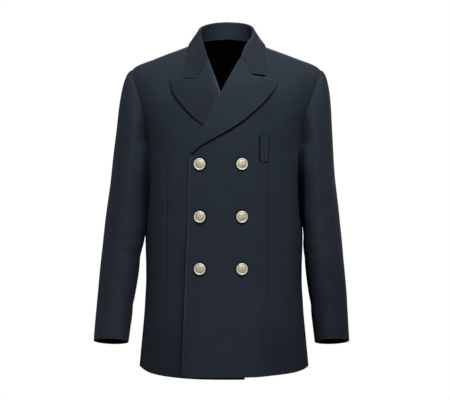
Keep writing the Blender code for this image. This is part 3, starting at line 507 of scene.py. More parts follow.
# %% [markdown]
# ## Panels of the body
# Each panel is laid out in rows and columns like the threads of its cloth, from its hem
# to its shoulder. The functions take as many of each as are asked for, so the shells can
# be far finer than the solids.

# %% Room for the folds, and the chest settled
FOLD_RADIUS = 3.6 * MM
COVERED_FOLD_RADIUS = 2.5 * MM
FOLD_LEG = 1.6 * MM
FOLD_GAP = 0.8 * MM
COVERED_LOW_Z, COVERED_HIGH_Z = -108.0 * MM, -58.0 * MM
NECK_BLEND = 12.0 * MM
SETTLED_REACH, SETTLED_ROUNDS = 16.0 * MM, 40


def top_radius(z):
    return FOLD_RADIUS + 0 * z


def under_radius(z):
    shows = ease((z - COVERED_LOW_Z) / (COVERED_HIGH_Z - COVERED_LOW_Z))
    return COVERED_FOLD_RADIUS + (FOLD_RADIUS - COVERED_FOLD_RADIUS) * shows


def fold_room(radius):
    """How far the front's cloth stops short of its edge, to leave room for the fold."""
    def at(z):
        start = ease((z - BREAK_Z) / (FOLD_END_Z - BREAK_Z))
        room = (radius(z) + FOLD_LEG + FOLD_GAP) * start
        neck = ease((z - GORGE_Z) / NECK_BLEND)
        return room * (1 - neck) + NECK_GAP * neck

    return at


def settled(points, normals):
    """Smooths the cloth over the chest, where the lower and the upper form meet."""
    weight = 0.5 * fading(points[..., 2] - CHEST_Z, SETTLED_REACH)[1:-1, :, None]
    for _ in range(SETTLED_ROUNDS):
        points[1:-1] += weight * ((points[2:] + points[:-2]) / 2 - points[1:-1])
        normals[1:-1] += weight * ((normals[2:] + normals[:-2]) / 2 - normals[1:-1])
    return points, unit(normals)


print("fold radius:", round(FOLD_RADIUS, 4), "m, or", COVERED_FOLD_RADIUS, "m where covered")


# %% The cloth of a front
def front_cloth(edge, set_in, hem, columns=70, lower=130, upper=90):
    """Points and normals of a front, hem to shoulder, from its inner edge to the side."""
    across = np.linspace(0, 1, columns)
    up = np.linspace(0, 1, lower)[:, None]
    z_seam = SIDE_HEM_Z + up * (CHEST_Z - SIDE_HEM_Z)
    z_edge = hem + up * (CHEST_Z - hem)
    first = angle_at((edge(z_edge) + set_in(z_edge)) / torso_half(z_edge), True)
    last = angle_at(seam_ahead(z_seam), True)
    low = lower_cloth(first + (last - first) * across, z_edge + (z_seam - z_edge) * across**3)
    chest = low[0][-1, :, 0]
    share = (chest - chest[0]) / (chest[-1] - chest[0])
    turn = np.linspace(math.pi / 2, 0, upper)[1:, None]
    z_edge = height_on_row(edge, turn)
    left = edge(z_edge) + set_in(z_edge)
    right = armhole_front_x(height_on_row(armhole_front_x, turn))
    high = upper_cloth(left + (right - left) * share, turn + 0 * share, True)
    return settled(np.concatenate([low[0], high[0]]), np.concatenate([low[1], high[1]]))


front_edge_z = front_cloth(top_edge_x, fold_room(top_radius), TOP_HEM_Z)[0][:, 0, 2]
print("top front's edge runs from", np.round(front_edge_z[[0, -1]], 3), "m")

# %% The cloth of half a back
NECK_CUT_TURN, NECK_CUT_CURVE = np.radians(32.5), 2.6
BACK_SPREAD = 252.0 * MM


def neck_turn(x):
    """Turn at which the neck seam cuts off the back, at a distance from the centre."""
    return NECK_CUT_TURN * np.sqrt(np.maximum(1 - (np.abs(x) / NECK_X) ** NECK_CUT_CURVE, 0))


def back_cloth(columns=60, lower=110, upper=80):
    """Points and normals of half the back, from the centre seam to the side panel."""
    across = np.linspace(0, 1, columns)
    up = np.linspace(0, 1, lower)[:, None]
    z_seam = SIDE_HEM_Z + up * (CHEST_Z - SIDE_HEM_Z)
    z_middle = BACK_HEM_Z + up * (CHEST_Z - BACK_HEM_Z)
    last = angle_at(seam_behind(z_seam), False)
    angle = math.pi + (last - math.pi) * across
    low = lower_cloth(angle, z_middle + (z_seam - z_middle) * across)
    turn = np.linspace(math.pi / 2, 0, upper)[1:, None]
    share = 1 - turn / (math.pi / 2)
    high = armhole_back_x(height_on_row(armhole_back_x, turn, ridge_back))
    even = BACK_SPREAD * np.sin(np.arcsin(high / BACK_SPREAD) * across)
    neck = NECK_COLUMNS / BACK_COLUMNS
    along = np.clip((across - neck) / (1 - neck), 0, 1)
    at_neck = NECK_X * np.sin(np.clip(across / neck, 0, 1) * math.pi / 2) + (high - NECK_X) * along
    xs = even + (at_neck - even) * ease(share)
    top = upper_cloth(xs, math.pi / 2 - share * (math.pi / 2 - neck_turn(xs)), False)
    return np.concatenate([low[0], top[0]]), np.concatenate([low[1], top[1]])


print("width of half the back at the hem:", round(float(back_cloth()[0][0, -1, 0]), 3), "m")


# %% The cloth of a side panel
def armhole_dip(across):
    """How far the foot of the armhole dips below the chest, across the side panel."""
    return (CHEST_Z - ARMHOLE_LOW_Z) * np.maximum(np.sin(math.pi * across), 0) ** ARMHOLE_SCOOP


def side_cloth(columns=40, rows=130):
    """Points and normals of a side panel, whose top edge is the foot of the armhole."""
    across = np.linspace(0, 1, columns)
    up = np.linspace(0, 1, rows)[:, None]
    z_seam = SIDE_HEM_Z + up * (CHEST_Z - SIDE_HEM_Z)
    first, last = angle_at(seam_ahead(z_seam), True), angle_at(seam_behind(z_seam), False)
    return lower_cloth(first + (last - first) * across, z_seam - armhole_dip(across) * up**3)


hem_steps = np.linalg.norm(np.diff(side_cloth()[0][0], axis=0), axis=1)
print("side panel width at the hem:", round(float(hem_steps.sum()), 3), "m")


# %% [markdown]
# ## Shells with soft edges
# Cloth turned in at a seam or a hem has a round edge about as thick as the cloth. A shell
# here is one grid through the middle of the cloth, spaced evenly and then closer at its
# edges, with a face each side of it. Both faces meet at the edge in a half round.

# %% Even spacing along a grid
EDGE_STEPS = np.array([0.0, 0.15, 0.45, 1.0, 1.9]) * MM
LINE_STEPS = np.array([0.25, 0.6, 1.1, 1.7, 2.6, 4.5]) * MM
LINE_STEPS = np.concatenate([-LINE_STEPS[::-1], [0.0], LINE_STEPS])


def along_rows(data, reach, places):
    """Smooth values at places along each row, whose points lie at the given reaches."""
    steps = np.diff(reach, axis=1)
    slopes = np.diff(data, axis=1) / steps[..., None]
    inside = (slopes[:, 1:] + slopes[:, :-1]) / 2
    ends = np.concatenate([slopes[:, :1], inside, slopes[:, -1:]], axis=1)
    out = np.empty(places.shape + (data.shape[-1],))
    for r in range(len(data)):
        i = np.clip(np.searchsorted(reach[r], places[r]) - 1, 0, steps.shape[1] - 1)
        step = steps[r, i]
        t = ((places[r] - reach[r, i]) / step)[:, None]
        rise = (3 - 2 * t) * t * t
        bend = ends[r, i] * t * (1 - t) ** 2 - ends[r, i + 1] * t * t * (1 - t)
        out[r] = data[r, i] * (1 - rise) + data[r, i + 1] * rise + step[:, None] * bend
    return out


print("columns at each edge:", len(EDGE_STEPS), "and along a line:", len(LINE_STEPS))


# %% A grid's columns and rows, spaced for a shell
def between(low, high, count):
    """Places strictly between two columns of places, evenly apart."""
    return low + (high - low) * np.linspace(0, 1, count + 2)[None, 1:-1]


def spaced(data, count, low_gap=0.0, high_gap=0.0, line=None):
    """A grid's columns spaced evenly, set in by a gap at each side, and closer at the
    edges and along a line, which is given by how far each point lies beyond it."""
    steps = np.maximum(np.linalg.norm(np.diff(data[..., :3], axis=1), axis=-1), 1e-9)
    reach = np.concatenate([np.zeros((len(data), 1)), np.cumsum(steps, axis=1)], axis=1)
    whole = reach[:, -1:]
    low = low_gap + EDGE_STEPS[None] + 0 * whole
    high = whole - high_gap - EDGE_STEPS[::-1][None]
    if line is None:
        places = [low, between(low[:, -1:], high[:, :1], count), high]
    else:
        beyond = line(data[..., :3])
        at = np.array([np.interp(0, b, r) for b, r in zip(beyond, reach)])[:, None]
        near = at + LINE_STEPS[None]
        share = float(np.mean(at / whole))
        first = int(count * share)
        places = [low, between(low[:, -1:], near[:, :1], first), near,
                  between(near[:, -1:], high[:, :1], count - first), high]
    places = np.concatenate(places, axis=1)
    found = along_rows(data, reach, places)
    return found, places - low_gap, whole - high_gap - places


def shell_grid(points, normals, rows, columns, left=0.0, right=0.0, bottom=0.0, top=0.0, line=None):
    """Middle surface of a shell, its normals, and each point's distance from each edge."""
    data = np.concatenate([points, normals], axis=-1)
    data = spaced(data, columns, left, right, line)[0].transpose(1, 0, 2)
    data, from_bottom, from_top = spaced(data, rows, bottom, top)
    data = data.transpose(1, 0, 2)
    points, normals = data[..., :3], unit(data[..., 3:])
    across = np.linalg.norm(np.diff(points, axis=1), axis=-1)
    from_left = np.concatenate([np.zeros((len(points), 1)), np.cumsum(across, axis=1)], axis=1)
    edges = dict(
        left=from_left, right=from_left[:, -1:] - from_left,
        bottom=from_bottom.T, top=from_top.T,
    )
    return points, normals, edges


sides = np.meshgrid([0, 0.05, 0.1], [0, 0.05, 0.1])
flat_sheet = np.stack([*sides, np.zeros((3, 3))], axis=-1)
flat_grid = shell_grid(flat_sheet, np.ones((3, 3, 3)), rows=6, columns=6)[0]
print("a square of 3 by 3 points becomes a grid of", flat_grid.shape[:2])

# %% A grid as a mesh
ROUND_EDGE = 1.0 * MM
SHARP_ANGLE = math.radians(60)


def grid_faces(number):
    """Quads of a grid whose vertices are numbered by an array."""
    a, b = number[:-1, :-1].ravel(), number[:-1, 1:].ravel()
    c, d = number[1:, 1:].ravel(), number[1:, :-1].ravel()
    return np.stack([a, b, c, d], axis=1)


def split_corners(quads, number):
    """Cuts the quad at each corner of a grid in two, from the corner inwards."""
    corners = number[[0, 0, -1, -1], [0, -1, 0, -1]]
    places = [int(np.argmax((quads == corner).any(axis=1))) for corner in corners]
    triangles = []
    for place, corner in zip(places, corners):
        turn = quads[place].tolist().index(corner)
        a, b, c, d = np.roll(quads[place], -turn).tolist()
        triangles += [[a, b, c], [a, c, d]]
    return np.delete(quads, places, axis=0).tolist() + triangles


def placed(name, mesh):
    thing = bpy.data.objects.new(name, mesh)
    scene.collection.objects.link(thing)
    return thing


def finished(name, points, faces, spots, material_of_face, materials, marks):
    """Makes the object, with the cloth's own measure in metres as its UV map. Marks are
    painted into its colour: above 0 a painted highlight, below 0 painted shade, such as
    the dark line in a seam, or the black of a lining."""
    mesh = bpy.data.meshes.new(name)
    mesh.from_pydata(points.tolist(), [], faces)
    for material in materials:
        mesh.materials.append(material)
    mesh.polygons.foreach_set("material_index", np.asarray(material_of_face, np.int32))
    uv = mesh.uv_layers.new(name="cloth")
    uv.data.foreach_set("uv", spots[np.concatenate(faces)].astype(np.float32).ravel())
    marked = mesh.attributes.new("marks", "FLOAT", "POINT")
    marked.data.foreach_set("value", marks.astype(np.float32))
    mesh.update()
    mesh.shade_smooth()
    mesh.set_sharp_from_angle(angle=SHARP_ANGLE)
    return placed(name, mesh)


print("faces are sharp beyond", round(math.degrees(SHARP_ANGLE)), "degrees")


# %% The flat size of a piece of cloth
def surface_area(grid):
    """Area of a grid's surface, from the diagonals of its cells."""
    one = np.cross(grid[1:, 1:] - grid[:-1, :-1], grid[:-1, 1:] - grid[1:, :-1])
    return float(np.linalg.norm(one, axis=-1).sum() / 2)


def cut_size(grid):
    """Width, length and area that a piece of cloth had when it was flat."""
    across = np.linalg.norm(np.diff(grid, axis=1), axis=-1).sum(axis=1).max()
    along = np.linalg.norm(np.diff(grid, axis=0), axis=-1).sum(axis=0).max()
    return float(across), float(along), surface_area(grid)


print("width, length and area of that square:", [round(v, 4) for v in cut_size(flat_grid)])


# %% A sewn shell
def sewn_shell(name, points, normals, edges, outer_material, inner_material, marks, thick=WALL):
    """A cloth shell round its middle surface: right side out, lining or facing inside."""
    rows, columns = points.shape[:2]
    near = np.minimum.reduce([edges["left"], edges["right"], edges["bottom"], edges["top"]])
    rounded = np.clip(1 - near / ROUND_EDGE, 0, 1)
    half = (thick / 2 * np.sqrt(np.maximum(1 - rounded**2, 0)))[..., None]
    outer, inner = points + half * normals, points - half * normals
    number = np.arange(rows * columns).reshape(rows, columns)
    under = number.copy()
    inside = np.arange((rows - 2) * (columns - 2)).reshape(rows - 2, columns - 2)
    under[1:-1, 1:-1] = rows * columns + inside
    all_points = np.concatenate([outer.reshape(-1, 3), inner[1:-1, 1:-1].reshape(-1, 3)])
    one, two = grid_faces(number), grid_faces(under)
    middle = points[rows // 2, columns // 2]
    across = points[rows // 2, columns // 2 + 1] - middle
    up = points[rows // 2 + 1, columns // 2] - middle
    if np.dot(np.cross(across, up), normals[rows // 2, columns // 2]) < 0:
        one = one[:, ::-1]
    else:
        two = two[:, ::-1]
    one, two = split_corners(one, number), split_corners(two, number)
    flat = np.stack([edges["left"], edges["bottom"]], axis=-1)
    spots = np.concatenate([flat.reshape(-1, 2), flat[1:-1, 1:-1].reshape(-1, 2)])
    marks = np.concatenate([marks.ravel(), marks[1:-1, 1:-1].ravel()])
    which = np.repeat([0, 1], [len(one), len(two)])
    both = [outer_material, inner_material]
    thing = finished(name, all_points, one + two, spots, which, both, marks)
    print(f"{name}: {len(one + two)} faces, cloth {surface_area(points):.4f} m2")
    return thing


# %% [markdown]
# ## Materials
# Wool serge is a tight twill of combed yarn, woven and then pressed. A diagonal rib every
# 0.7 mm and a fine nap give the eye a matt, nearly even navy with a soft bloom where the
# cloth turns away. The lining is acetate satin, black and smooth. One function weaves
# both, since they differ only in colour, rib and shine. Marks kept on the mesh paint shade,
# such as the dark line in each seam, and highlights along edges and folds into the cloth's
# colour, as well as the black of the lining inside the collar's stand.

# %% The measures of a woven cloth
TWILL_PITCH = 1.25 * MM  # real serge is about 0.7 mm; drawn coarser so that it shows
SATIN_PITCH = 1.6 * MM  # satin threads are about 0.1 mm; this is their slow streak
SLUB_SIZE, BLOOM_SIZE = 9.0 * MM, 46.0 * MM
RIB_SHARE, SLUB_RELIEF, SHADE_LOW, SHADE_HIGH = 0.22, 0.6, 0.3, 1.9
SHEEN_ROUGHNESS = 0.45
# The colour of painted highlights, and the near black of painted shade and of the stand's lining
HIGHLIGHT_PALE, SHADE_AND_LINING_BLACK = "#5d6674", "#010102"
print("twill ribs in 10 mm:", round(10 * MM / TWILL_PITCH))


# %% A woven material
def new_material(name, roughness, metallic=0.0):
    material = bpy.data.materials.new(name)
    material.use_nodes = True
    shader = material.node_tree.nodes["Principled BSDF"]
    shader.inputs["Roughness"].default_value = roughness
    shader.inputs["Metallic"].default_value = metallic
    return material, material.node_tree, shader


def woven(name, dark, light, tint, pitch, relief, roughness, sheen, gloss):
    """A woven cloth: its rib, the slub of its yarn and a slow change of shade. A
    diagonal wave repeats every 0.2 pi / scale along an axis, a root of 2 less across."""
    material, tree, shader = new_material(name, roughness)
    cloth = add_node(tree, "ShaderNodeUVMap", uv_map="cloth")
    thread = cloth.outputs["UV"]
    rib = add_node(tree, "ShaderNodeTexWave", {
        "Vector": thread, "Scale": 0.2 * math.pi / (math.sqrt(2) * pitch), "Distortion": 0.7,
        "Detail": 1.0, "Detail Scale": 1.5,
    }, wave_type="BANDS", bands_direction="DIAGONAL", wave_profile="SIN")
    slub = add_node(tree, "ShaderNodeTexNoise", {
        "Vector": thread, "Scale": 1 / SLUB_SIZE, "Detail": 5.0, "Roughness": 0.65,
    })
    bloom = add_node(tree, "ShaderNodeTexNoise", {
        "Vector": thread, "Scale": 1 / BLOOM_SIZE, "Detail": 2.0, "Roughness": 0.5,
    })
    shade = add_node(tree, "ShaderNodeMath", {
        0: slub.outputs[0], 1: bloom.outputs[0],
    }, operation="ADD")
    ribbed = add_node(tree, "ShaderNodeMath", {
        0: rib.outputs["Fac"], 1: RIB_SHARE, 2: shade.outputs[0],
    }, operation="MULTIPLY_ADD")
    spread = add_node(tree, "ShaderNodeMapRange", {
        "Value": ribbed.outputs[0], "From Min": SHADE_LOW, "From Max": SHADE_HIGH,
    })
    colour = add_node(tree, "ShaderNodeMix", {
        0: spread.outputs[0], 6: srgb(dark), 7: srgb(light),
    }, data_type="RGBA")
    # The marks paint highlights (above 0) and shade (below 0) into the colour, and painted shade also
    # takes away sheen and specular level
    marks = add_node(tree, "ShaderNodeAttribute", attribute_name="marks")
    pale = add_node(tree, "ShaderNodeMath", {0: marks.outputs["Fac"], 1: 0.0}, operation="MAXIMUM")
    deep = add_node(tree, "ShaderNodeMath", {0: marks.outputs["Fac"], 1: -1.0}, operation="MULTIPLY")
    deep = add_node(tree, "ShaderNodeMath", {0: deep.outputs[0], 1: 0.0}, operation="MAXIMUM")
    paled = add_node(tree, "ShaderNodeMix", {
        0: pale.outputs[0], 6: colour.outputs[2], 7: srgb(HIGHLIGHT_PALE),
    }, data_type="RGBA")
    marked = add_node(tree, "ShaderNodeMix", {
        0: deep.outputs[0], 6: paled.outputs[2], 7: srgb(SHADE_AND_LINING_BLACK),
    }, data_type="RGBA")
    height = add_node(tree, "ShaderNodeMath", {
        0: slub.outputs[0], 1: SLUB_RELIEF, 2: rib.outputs["Fac"],
    }, operation="MULTIPLY_ADD")
    bump = add_node(tree, "ShaderNodeBump", {
        "Height": height.outputs[0], "Distance": relief, "Strength": 1.0,
    })
    for socket, most in (("Sheen Weight", sheen), ("Specular IOR Level", gloss)):
        left_over = add_node(tree, "ShaderNodeMath", {
            0: deep.outputs[0], 1: -most, 2: most,
        }, operation="MULTIPLY_ADD")
        tree.links.new(left_over.outputs[0], shader.inputs[socket])
    tree.links.new(marked.outputs[2], shader.inputs["Base Color"])
    tree.links.new(bump.outputs[0], shader.inputs["Normal"])
    shader.inputs["Sheen Roughness"].default_value = SHEEN_ROUGHNESS
    shader.inputs["Sheen Tint"].default_value = srgb(tint)
    return material


# %% Navy wool serge and black acetate satin
serge = woven(
    "navy_wool_serge", "#131a22", "#1f2833", "#8f9bb8", TWILL_PITCH, relief=0.08 * MM,
    roughness=0.85, sheen=0.08, gloss=0.25,
)
satin = woven(
    "black_acetate_satin", "#010102", "#020203", "#ffffff", SATIN_PITCH, relief=0.03 * MM,
    roughness=0.55, sheen=0.0, gloss=0.02,
)
print("cloths:", serge.name, satin.name)

# %% [markdown]
# ## What the needle and the iron leave
# A sewn seam pulls the cloth in beside it, and wool keeps a slight unevenness however
# well it is pressed. Both are small moves of the grid along its normals, with the chance
# ones seeded, so that they come out the same each time.

# %% Relief of a pressed and sewn cloth
SEAM_DIP, SEAM_REACH = 0.55 * MM, 2.6 * MM
WAVES = 7
LONG_WAVE, SHORT_WAVE, SHORT_SHARE = 130 * MM, 48 * MM, 0.4
PRESSED_WAVE, PADDED_WAVE, EASED_WAVE = 0.12 * MM, 0.22 * MM, 0.28 * MM


def soft_waves(points, size, seed):
    """A smooth uneven field between about -1 and 1, with waves of the given size."""
    chance = np.random.default_rng(seed)
    ways = unit(chance.normal(size=(WAVES, 3)))
    lengths = size * chance.uniform(0.7, 1.6, WAVES)
    shifts = chance.uniform(0, 2 * math.pi, WAVES)
    total = sum(np.sin(2 * math.pi * (points @ way) / span + shift)
                for way, span, shift in zip(ways, lengths, shifts))
    return total / math.sqrt(WAVES)


def seam_dip(distance):
    """The cloth turns in towards a sewn seam."""
    return -SEAM_DIP * fading(distance, SEAM_REACH)


def handled(points, seed, amount=PADDED_WAVE):
    """The slight unevenness that wool keeps after pressing."""
    short = soft_waves(points, SHORT_WAVE, seed + 1)
    return amount * (soft_waves(points, LONG_WAVE, seed) + SHORT_SHARE * short)


print("seam dip:", round(SEAM_DIP, 5), "m over", round(SEAM_REACH, 4), "m")

# %% [markdown]
# ## Fronts
# The wearer's left front laps over the right one. A dart runs down each from the chest
# past the waist: a fine line where a wedge of cloth was taken in. On the top front it
# passes just beside the badge tab.

# %% Darts, lapel outlines and the places of tab and buttons
DARTS = dict(
    front_left=table("x z", ((101.5, -214), (101.0, -400), (99.5, -585))),
    front_right=table("x z", ((127.0, -262), (129.5, -400), (132.7, -640))),
)
BUTTON_COLUMNS_X = (-53.2 * MM, 39.9 * MM)
BUTTON_ROWS_Z = (-282.2 * MM, -400.4 * MM, -518.4 * MM)

# Lapel outlines on the front, from the neck to the tip, and down to the last button
TOP_LAPEL_HEAD = table("x z", ((44, -60), (53, -80.5), (62, -84.5), (90, -88.5), (116, -91.5)))
TOP_LAPEL_EDGE = table("x z", (
    (116, -91.5), (109.5, -112), (87.5, -141), (62.5, -167), (39, -187), (2.5, -210.6),
    (-34, -230.6), (-54, -242.5), (-67, -256.5),
))
UNDER_LAPEL_HEAD = table("x z", ((52, -62), (63, -88.5), (73, -89.5), (98, -89.8), (126.5, -90.5)))
UNDER_LAPEL_EDGE = table("x z", (
    (126.5, -90.5), (116.5, -120), (98, -145), (72, -173), (49.5, -192), (20, -213),
    (-14, -232), (-38, -246), (-52.5, -256.5),
))
TAB_CENTRE_X, TAB_WIDTH = 89.6 * MM, 20.0 * MM
TAB_TOP_Z, TAB_LOW_Z = -219.0 * MM, -276.5 * MM
print("lapel tips at:", TOP_LAPEL_EDGE["x"][0], "and", UNDER_LAPEL_EDGE["x"][0], "m from the centre")

# %% [markdown]
# ### Shade that stays with the cloth
# Beside a raised edge or under an arm the cloth gets less light than soft boxes alone
# would show. Each place has its shade as a mark, from 0 for none to -1 for black.

# %% Shade on the fronts
LAPEL_SHADE, LAPEL_SHADE_WIDTH = 0.62, 3.2 * MM
BUTTON_RADIUS, BUTTON_SHADE, BUTTON_SHADE_WIDTH = 13.2 * MM, 0.9, 1.7 * MM
TAB_SHADE, TAB_FAR_SHARE, TAB_TOP_LIGHT, TAB_SHADE_WIDTH = 0.75, 0.5, 0.7, 1.2 * MM
LAP_DARK, LAP_DARK_WIDTH, LAP_SOFT, LAP_SOFT_WIDTH = 0.7, 2.4 * MM, 0.3, 15.0 * MM
LAP_SOFT_Z, LAP_SOFT_FALL, LAP_DARK_FADE = -380.0 * MM, 150.0 * MM, 6.0 * MM


def line_distance(x, z, line):
    """Distance of places on the front from a line through a table's points."""
    ends = np.stack([line["x"], line["z"]], axis=-1)
    spot = np.stack([x, z], axis=-1)
    best = np.full(np.shape(x), 1.0)
    for one, two in zip(ends[:-1], ends[1:]):
        run = two - one
        t = np.clip(((spot - one) @ run) / (run @ run), 0, 1)
        best = np.minimum(best, np.linalg.norm(spot - one - t[..., None] * run, axis=-1))
    return best


def under_lapel_shade(points, line):
    """A lapel's free edge keeps the light off the cloth just beside it."""
    away = line_distance(points[..., 0], points[..., 2], line)
    return -LAPEL_SHADE * fading(away, LAPEL_SHADE_WIDTH)


def top_front_shade(points):
    """Shade round the buttons, beside the tab and under the lapel of the top front."""
    x, z = points[..., 0], points[..., 2]
    shade = under_lapel_shade(points, TOP_LAPEL_EDGE)
    for button_x in BUTTON_COLUMNS_X:
        for button_z in BUTTON_ROWS_Z:
            away = np.maximum(np.hypot(x - button_x, z - button_z) - BUTTON_RADIUS, 0)
            shade = np.minimum(shade, -BUTTON_SHADE * fading(away, BUTTON_SHADE_WIDTH))
    out = np.maximum(np.abs(x - TAB_CENTRE_X) - TAB_WIDTH / 2, 0)
    down = np.maximum(np.maximum(z - TAB_TOP_Z, TAB_LOW_Z - z), 0)
    tab = np.where(x < TAB_CENTRE_X, TAB_SHADE, TAB_FAR_SHARE * TAB_SHADE)
    tab = tab * (1 - TAB_TOP_LIGHT * ease((z - TAB_TOP_Z) / MM))
    return np.minimum(shade, -tab * fading(np.hypot(out, down), TAB_SHADE_WIDTH))


def under_front_shade(points):
    """Shade on the under front beside the edge of the top front and under its lapel."""
    z = points[..., 2]
    beyond = np.maximum(top_edge_x(z) + points[..., 0], 0)
    soft = LAP_SOFT * fading(beyond, LAP_SOFT_WIDTH) * ease((LAP_SOFT_Z - z) / LAP_SOFT_FALL)
    beside = -LAP_DARK * fading(beyond, LAP_DARK_WIDTH) - soft
    beside = beside * ease((BREAK_Z - z) / LAP_DARK_FADE)
    return np.minimum(beside, under_lapel_shade(points, UNDER_LAPEL_EDGE))


print("shade under a lapel's edge:", LAPEL_SHADE, "over", LAPEL_SHADE_WIDTH, "m")

# %% Darts and the pull of the buttons
DART_DEPTH, DART_WIDTH, DART_FADE = 0.5 * MM, 1.0 * MM, 22.0 * MM
DART_SWELL, DART_SWELL_WIDTH = 0.2 * MM, 14.0 * MM
# Painted shade in the dart's groove, and a painted highlight on its lit side
DART_SHADE, DART_SHADE_WIDTH = 0.5, 0.9 * MM
DART_HIGHLIGHT, DART_HIGHLIGHT_AWAY, DART_HIGHLIGHT_WIDTH = 0.05, 2.4 * MM, 1.2 * MM
BUTTON_PULL, BUTTON_PULL_REACH = 0.9 * MM, 15 * MM


def beyond_dart(name, points):
    """How far a point lies beyond the line of a dart, towards the side."""
    rows = DARTS[name]
    order = np.argsort(rows["z"])
    return points[..., 0] - np.interp(points[..., 2], rows["z"][order], rows["x"][order])


def dart_fade(name, points):
    z = DARTS[name]["z"]
    return ease((points[..., 2] - z.min()) / DART_FADE) * ease((z.max() - points[..., 2]) / DART_FADE)


def dart_line(name, points):
    """The groove along a dart, fading out at its two ends."""
    away = beyond_dart(name, points)
    swell = DART_SWELL * fading(away, DART_SWELL_WIDTH)
    return (swell - DART_DEPTH * fading(away, DART_WIDTH)) * dart_fade(name, points)


def dart_mark(name, points):
    """Painted shade in the dart's groove, and a painted highlight on the side that catches the light.
    """
    away = beyond_dart(name, points)
    pale = DART_HIGHLIGHT * fading(away - DART_HIGHLIGHT_AWAY, DART_HIGHLIGHT_WIDTH)
    return (pale - DART_SHADE * fading(away, DART_SHADE_WIDTH)) * dart_fade(name, points)


def button_pull(points):
    """The cloth is held in a little under each button."""
    total = np.zeros(points.shape[:-1])
    for x in BUTTON_COLUMNS_X:
        for z in BUTTON_ROWS_Z:
            away = (points[..., 0] - x) ** 2 + (points[..., 2] - z) ** 2
            total -= BUTTON_PULL * np.exp(-away / BUTTON_PULL_REACH**2)
    return total


print("darts:", {name: len(rows["z"]) for name, rows in DARTS.items()})

# %% Shade beside the arms and towards the hem
ARM_SHADE, ARM_SHADE_WIDTH, ARM_SHADE_Z, ARM_SHADE_FALL = 0.42, 20.0 * MM, -235 * MM, 90 * MM
ARM_DARK, ARM_DARK_WIDTH, ARM_DARK_Z, ARM_DARK_FALL = 0.5, 6.0 * MM, -195 * MM, 60 * MM
ARM_LOW_SHARE, ARM_LOW_Z, ARM_LOW_RISE = 0.45, -640 * MM, 130 * MM
HEM_SHADE, HEM_SHADE_Z, HEM_SHADE_FALL = 0.24, -590.0 * MM, 130.0 * MM
HEM_SHADE_X, HEM_SHADE_SPREAD = 55.0 * MM, 70.0 * MM


def arm_shade(distance, z):
    """Arm and side keep the light off each other, down from the armhole."""
    distance = np.maximum(distance, 0)
    wide = ARM_SHADE * fading(distance, ARM_SHADE_WIDTH) * ease((ARM_SHADE_Z - z) / ARM_SHADE_FALL)
    near = ARM_DARK * fading(distance, ARM_DARK_WIDTH) * ease((ARM_DARK_Z - z) / ARM_DARK_FALL)
    low = ARM_LOW_SHARE + (1 - ARM_LOW_SHARE) * ease((z - ARM_LOW_Z) / ARM_LOW_RISE)
    return -(wide + near) * low


def hem_shade(points):
    """The light falls off towards the hem, away from the centre front and back."""
    beside = ease((np.abs(points[..., 0]) - HEM_SHADE_X) / HEM_SHADE_SPREAD)
    return -HEM_SHADE * beside * ease((HEM_SHADE_Z - points[..., 2]) / HEM_SHADE_FALL)


print("shade beside an arm:", ARM_SHADE, "over", ARM_SHADE_WIDTH, "m")

# %% Fronts
# Painted shade in the groove of each seam, and a painted highlight along the top front's edge
SEAM_SHADE, SEAM_SHADE_WIDTH = 0.6, 1.1 * MM
FRONT_EDGE_HIGHLIGHT, FRONT_EDGE_AWAY, FRONT_EDGE_WIDTH = 0.16, 1.2 * MM, 1.4 * MM
SEWN = -0.15 * MM


def body_shell(name, cloth, side, rows, columns, seed, offset=no_lap, dart=None, seams=(), **gaps):
    points, normals = cloth
    points = points + (offset(points) - WALL / 2)[..., None] * normals
    line = None if dart is None else lambda places: beyond_dart(dart, places)
    points, normals, edges = shell_grid(points, normals, rows, columns, line=line, **gaps)
    relief = handled(points, seed)
    marks = arm_shade(torso_half(points[..., 2]) - np.abs(points[..., 0]), points[..., 2])
    marks = marks + hem_shade(points)
    # Each seam dips, with painted shade in its groove
    for seam in seams:
        relief = relief + seam_dip(edges[seam])
        marks = marks - SEAM_SHADE * fading(edges[seam], SEAM_SHADE_WIDTH)
    if dart is not None:
        relief = relief + dart_line(dart, points)
        shade = top_front_shade(points) if side > 0 else under_front_shade(points)
        marks = marks + dart_mark(dart, points) + shade
    if side > 0 and dart is not None:
        relief = relief + button_pull(points)
        # A painted highlight along the top front's edge
        pale = fading(edges["left"] - FRONT_EDGE_AWAY, FRONT_EDGE_WIDTH)
        marks = marks + FRONT_EDGE_HIGHLIGHT * pale
    points = points + relief[..., None] * normals
    shape = lean(mirrored(points, side)), mirrored(normals, side)
    return sewn_shell(name, *shape, edges, serge, satin, marks)


front_left = body_shell(
    "top_front", front_cloth(top_edge_x, fold_room(top_radius), TOP_HEM_Z), side=1,
    rows=190, columns=120, seed=11, offset=lap_offset, dart="front_left",
    seams=("right", "top"), right=SEWN, top=SEWN,
)
front_right = body_shell(
    "under_front", front_cloth(under_edge_x, fold_room(under_radius), UNDER_HEM_Z), side=-1,
    rows=190, columns=105, seed=23, dart="front_right",
    seams=("right", "top"), right=SEWN, top=SEWN,
)

# %% [markdown]
# ## Backs and side panels
# The back is cut in two halves with a seam down its middle, and a narrow panel under each
# arm carries the waist shaping that the fronts and backs don't.

# %% Backs and side panels
bodies = {}
for word, side in (("left", 1), ("right", -1)):
    bodies[f"back_{word}"] = body_shell(
        f"back_{word}_half", back_cloth(), side, rows=160, columns=76, seed=31 + side,
        seams=("left", "right", "top"), left=SEWN, right=SEWN, top=SEWN,
    )
    bodies[f"side_panel_{word}"] = body_shell(
        f"side_{word}", side_cloth(), side, rows=130, columns=40, seed=41 + side,
        seams=("left", "right"), left=SEWN, right=SEWN,
    )

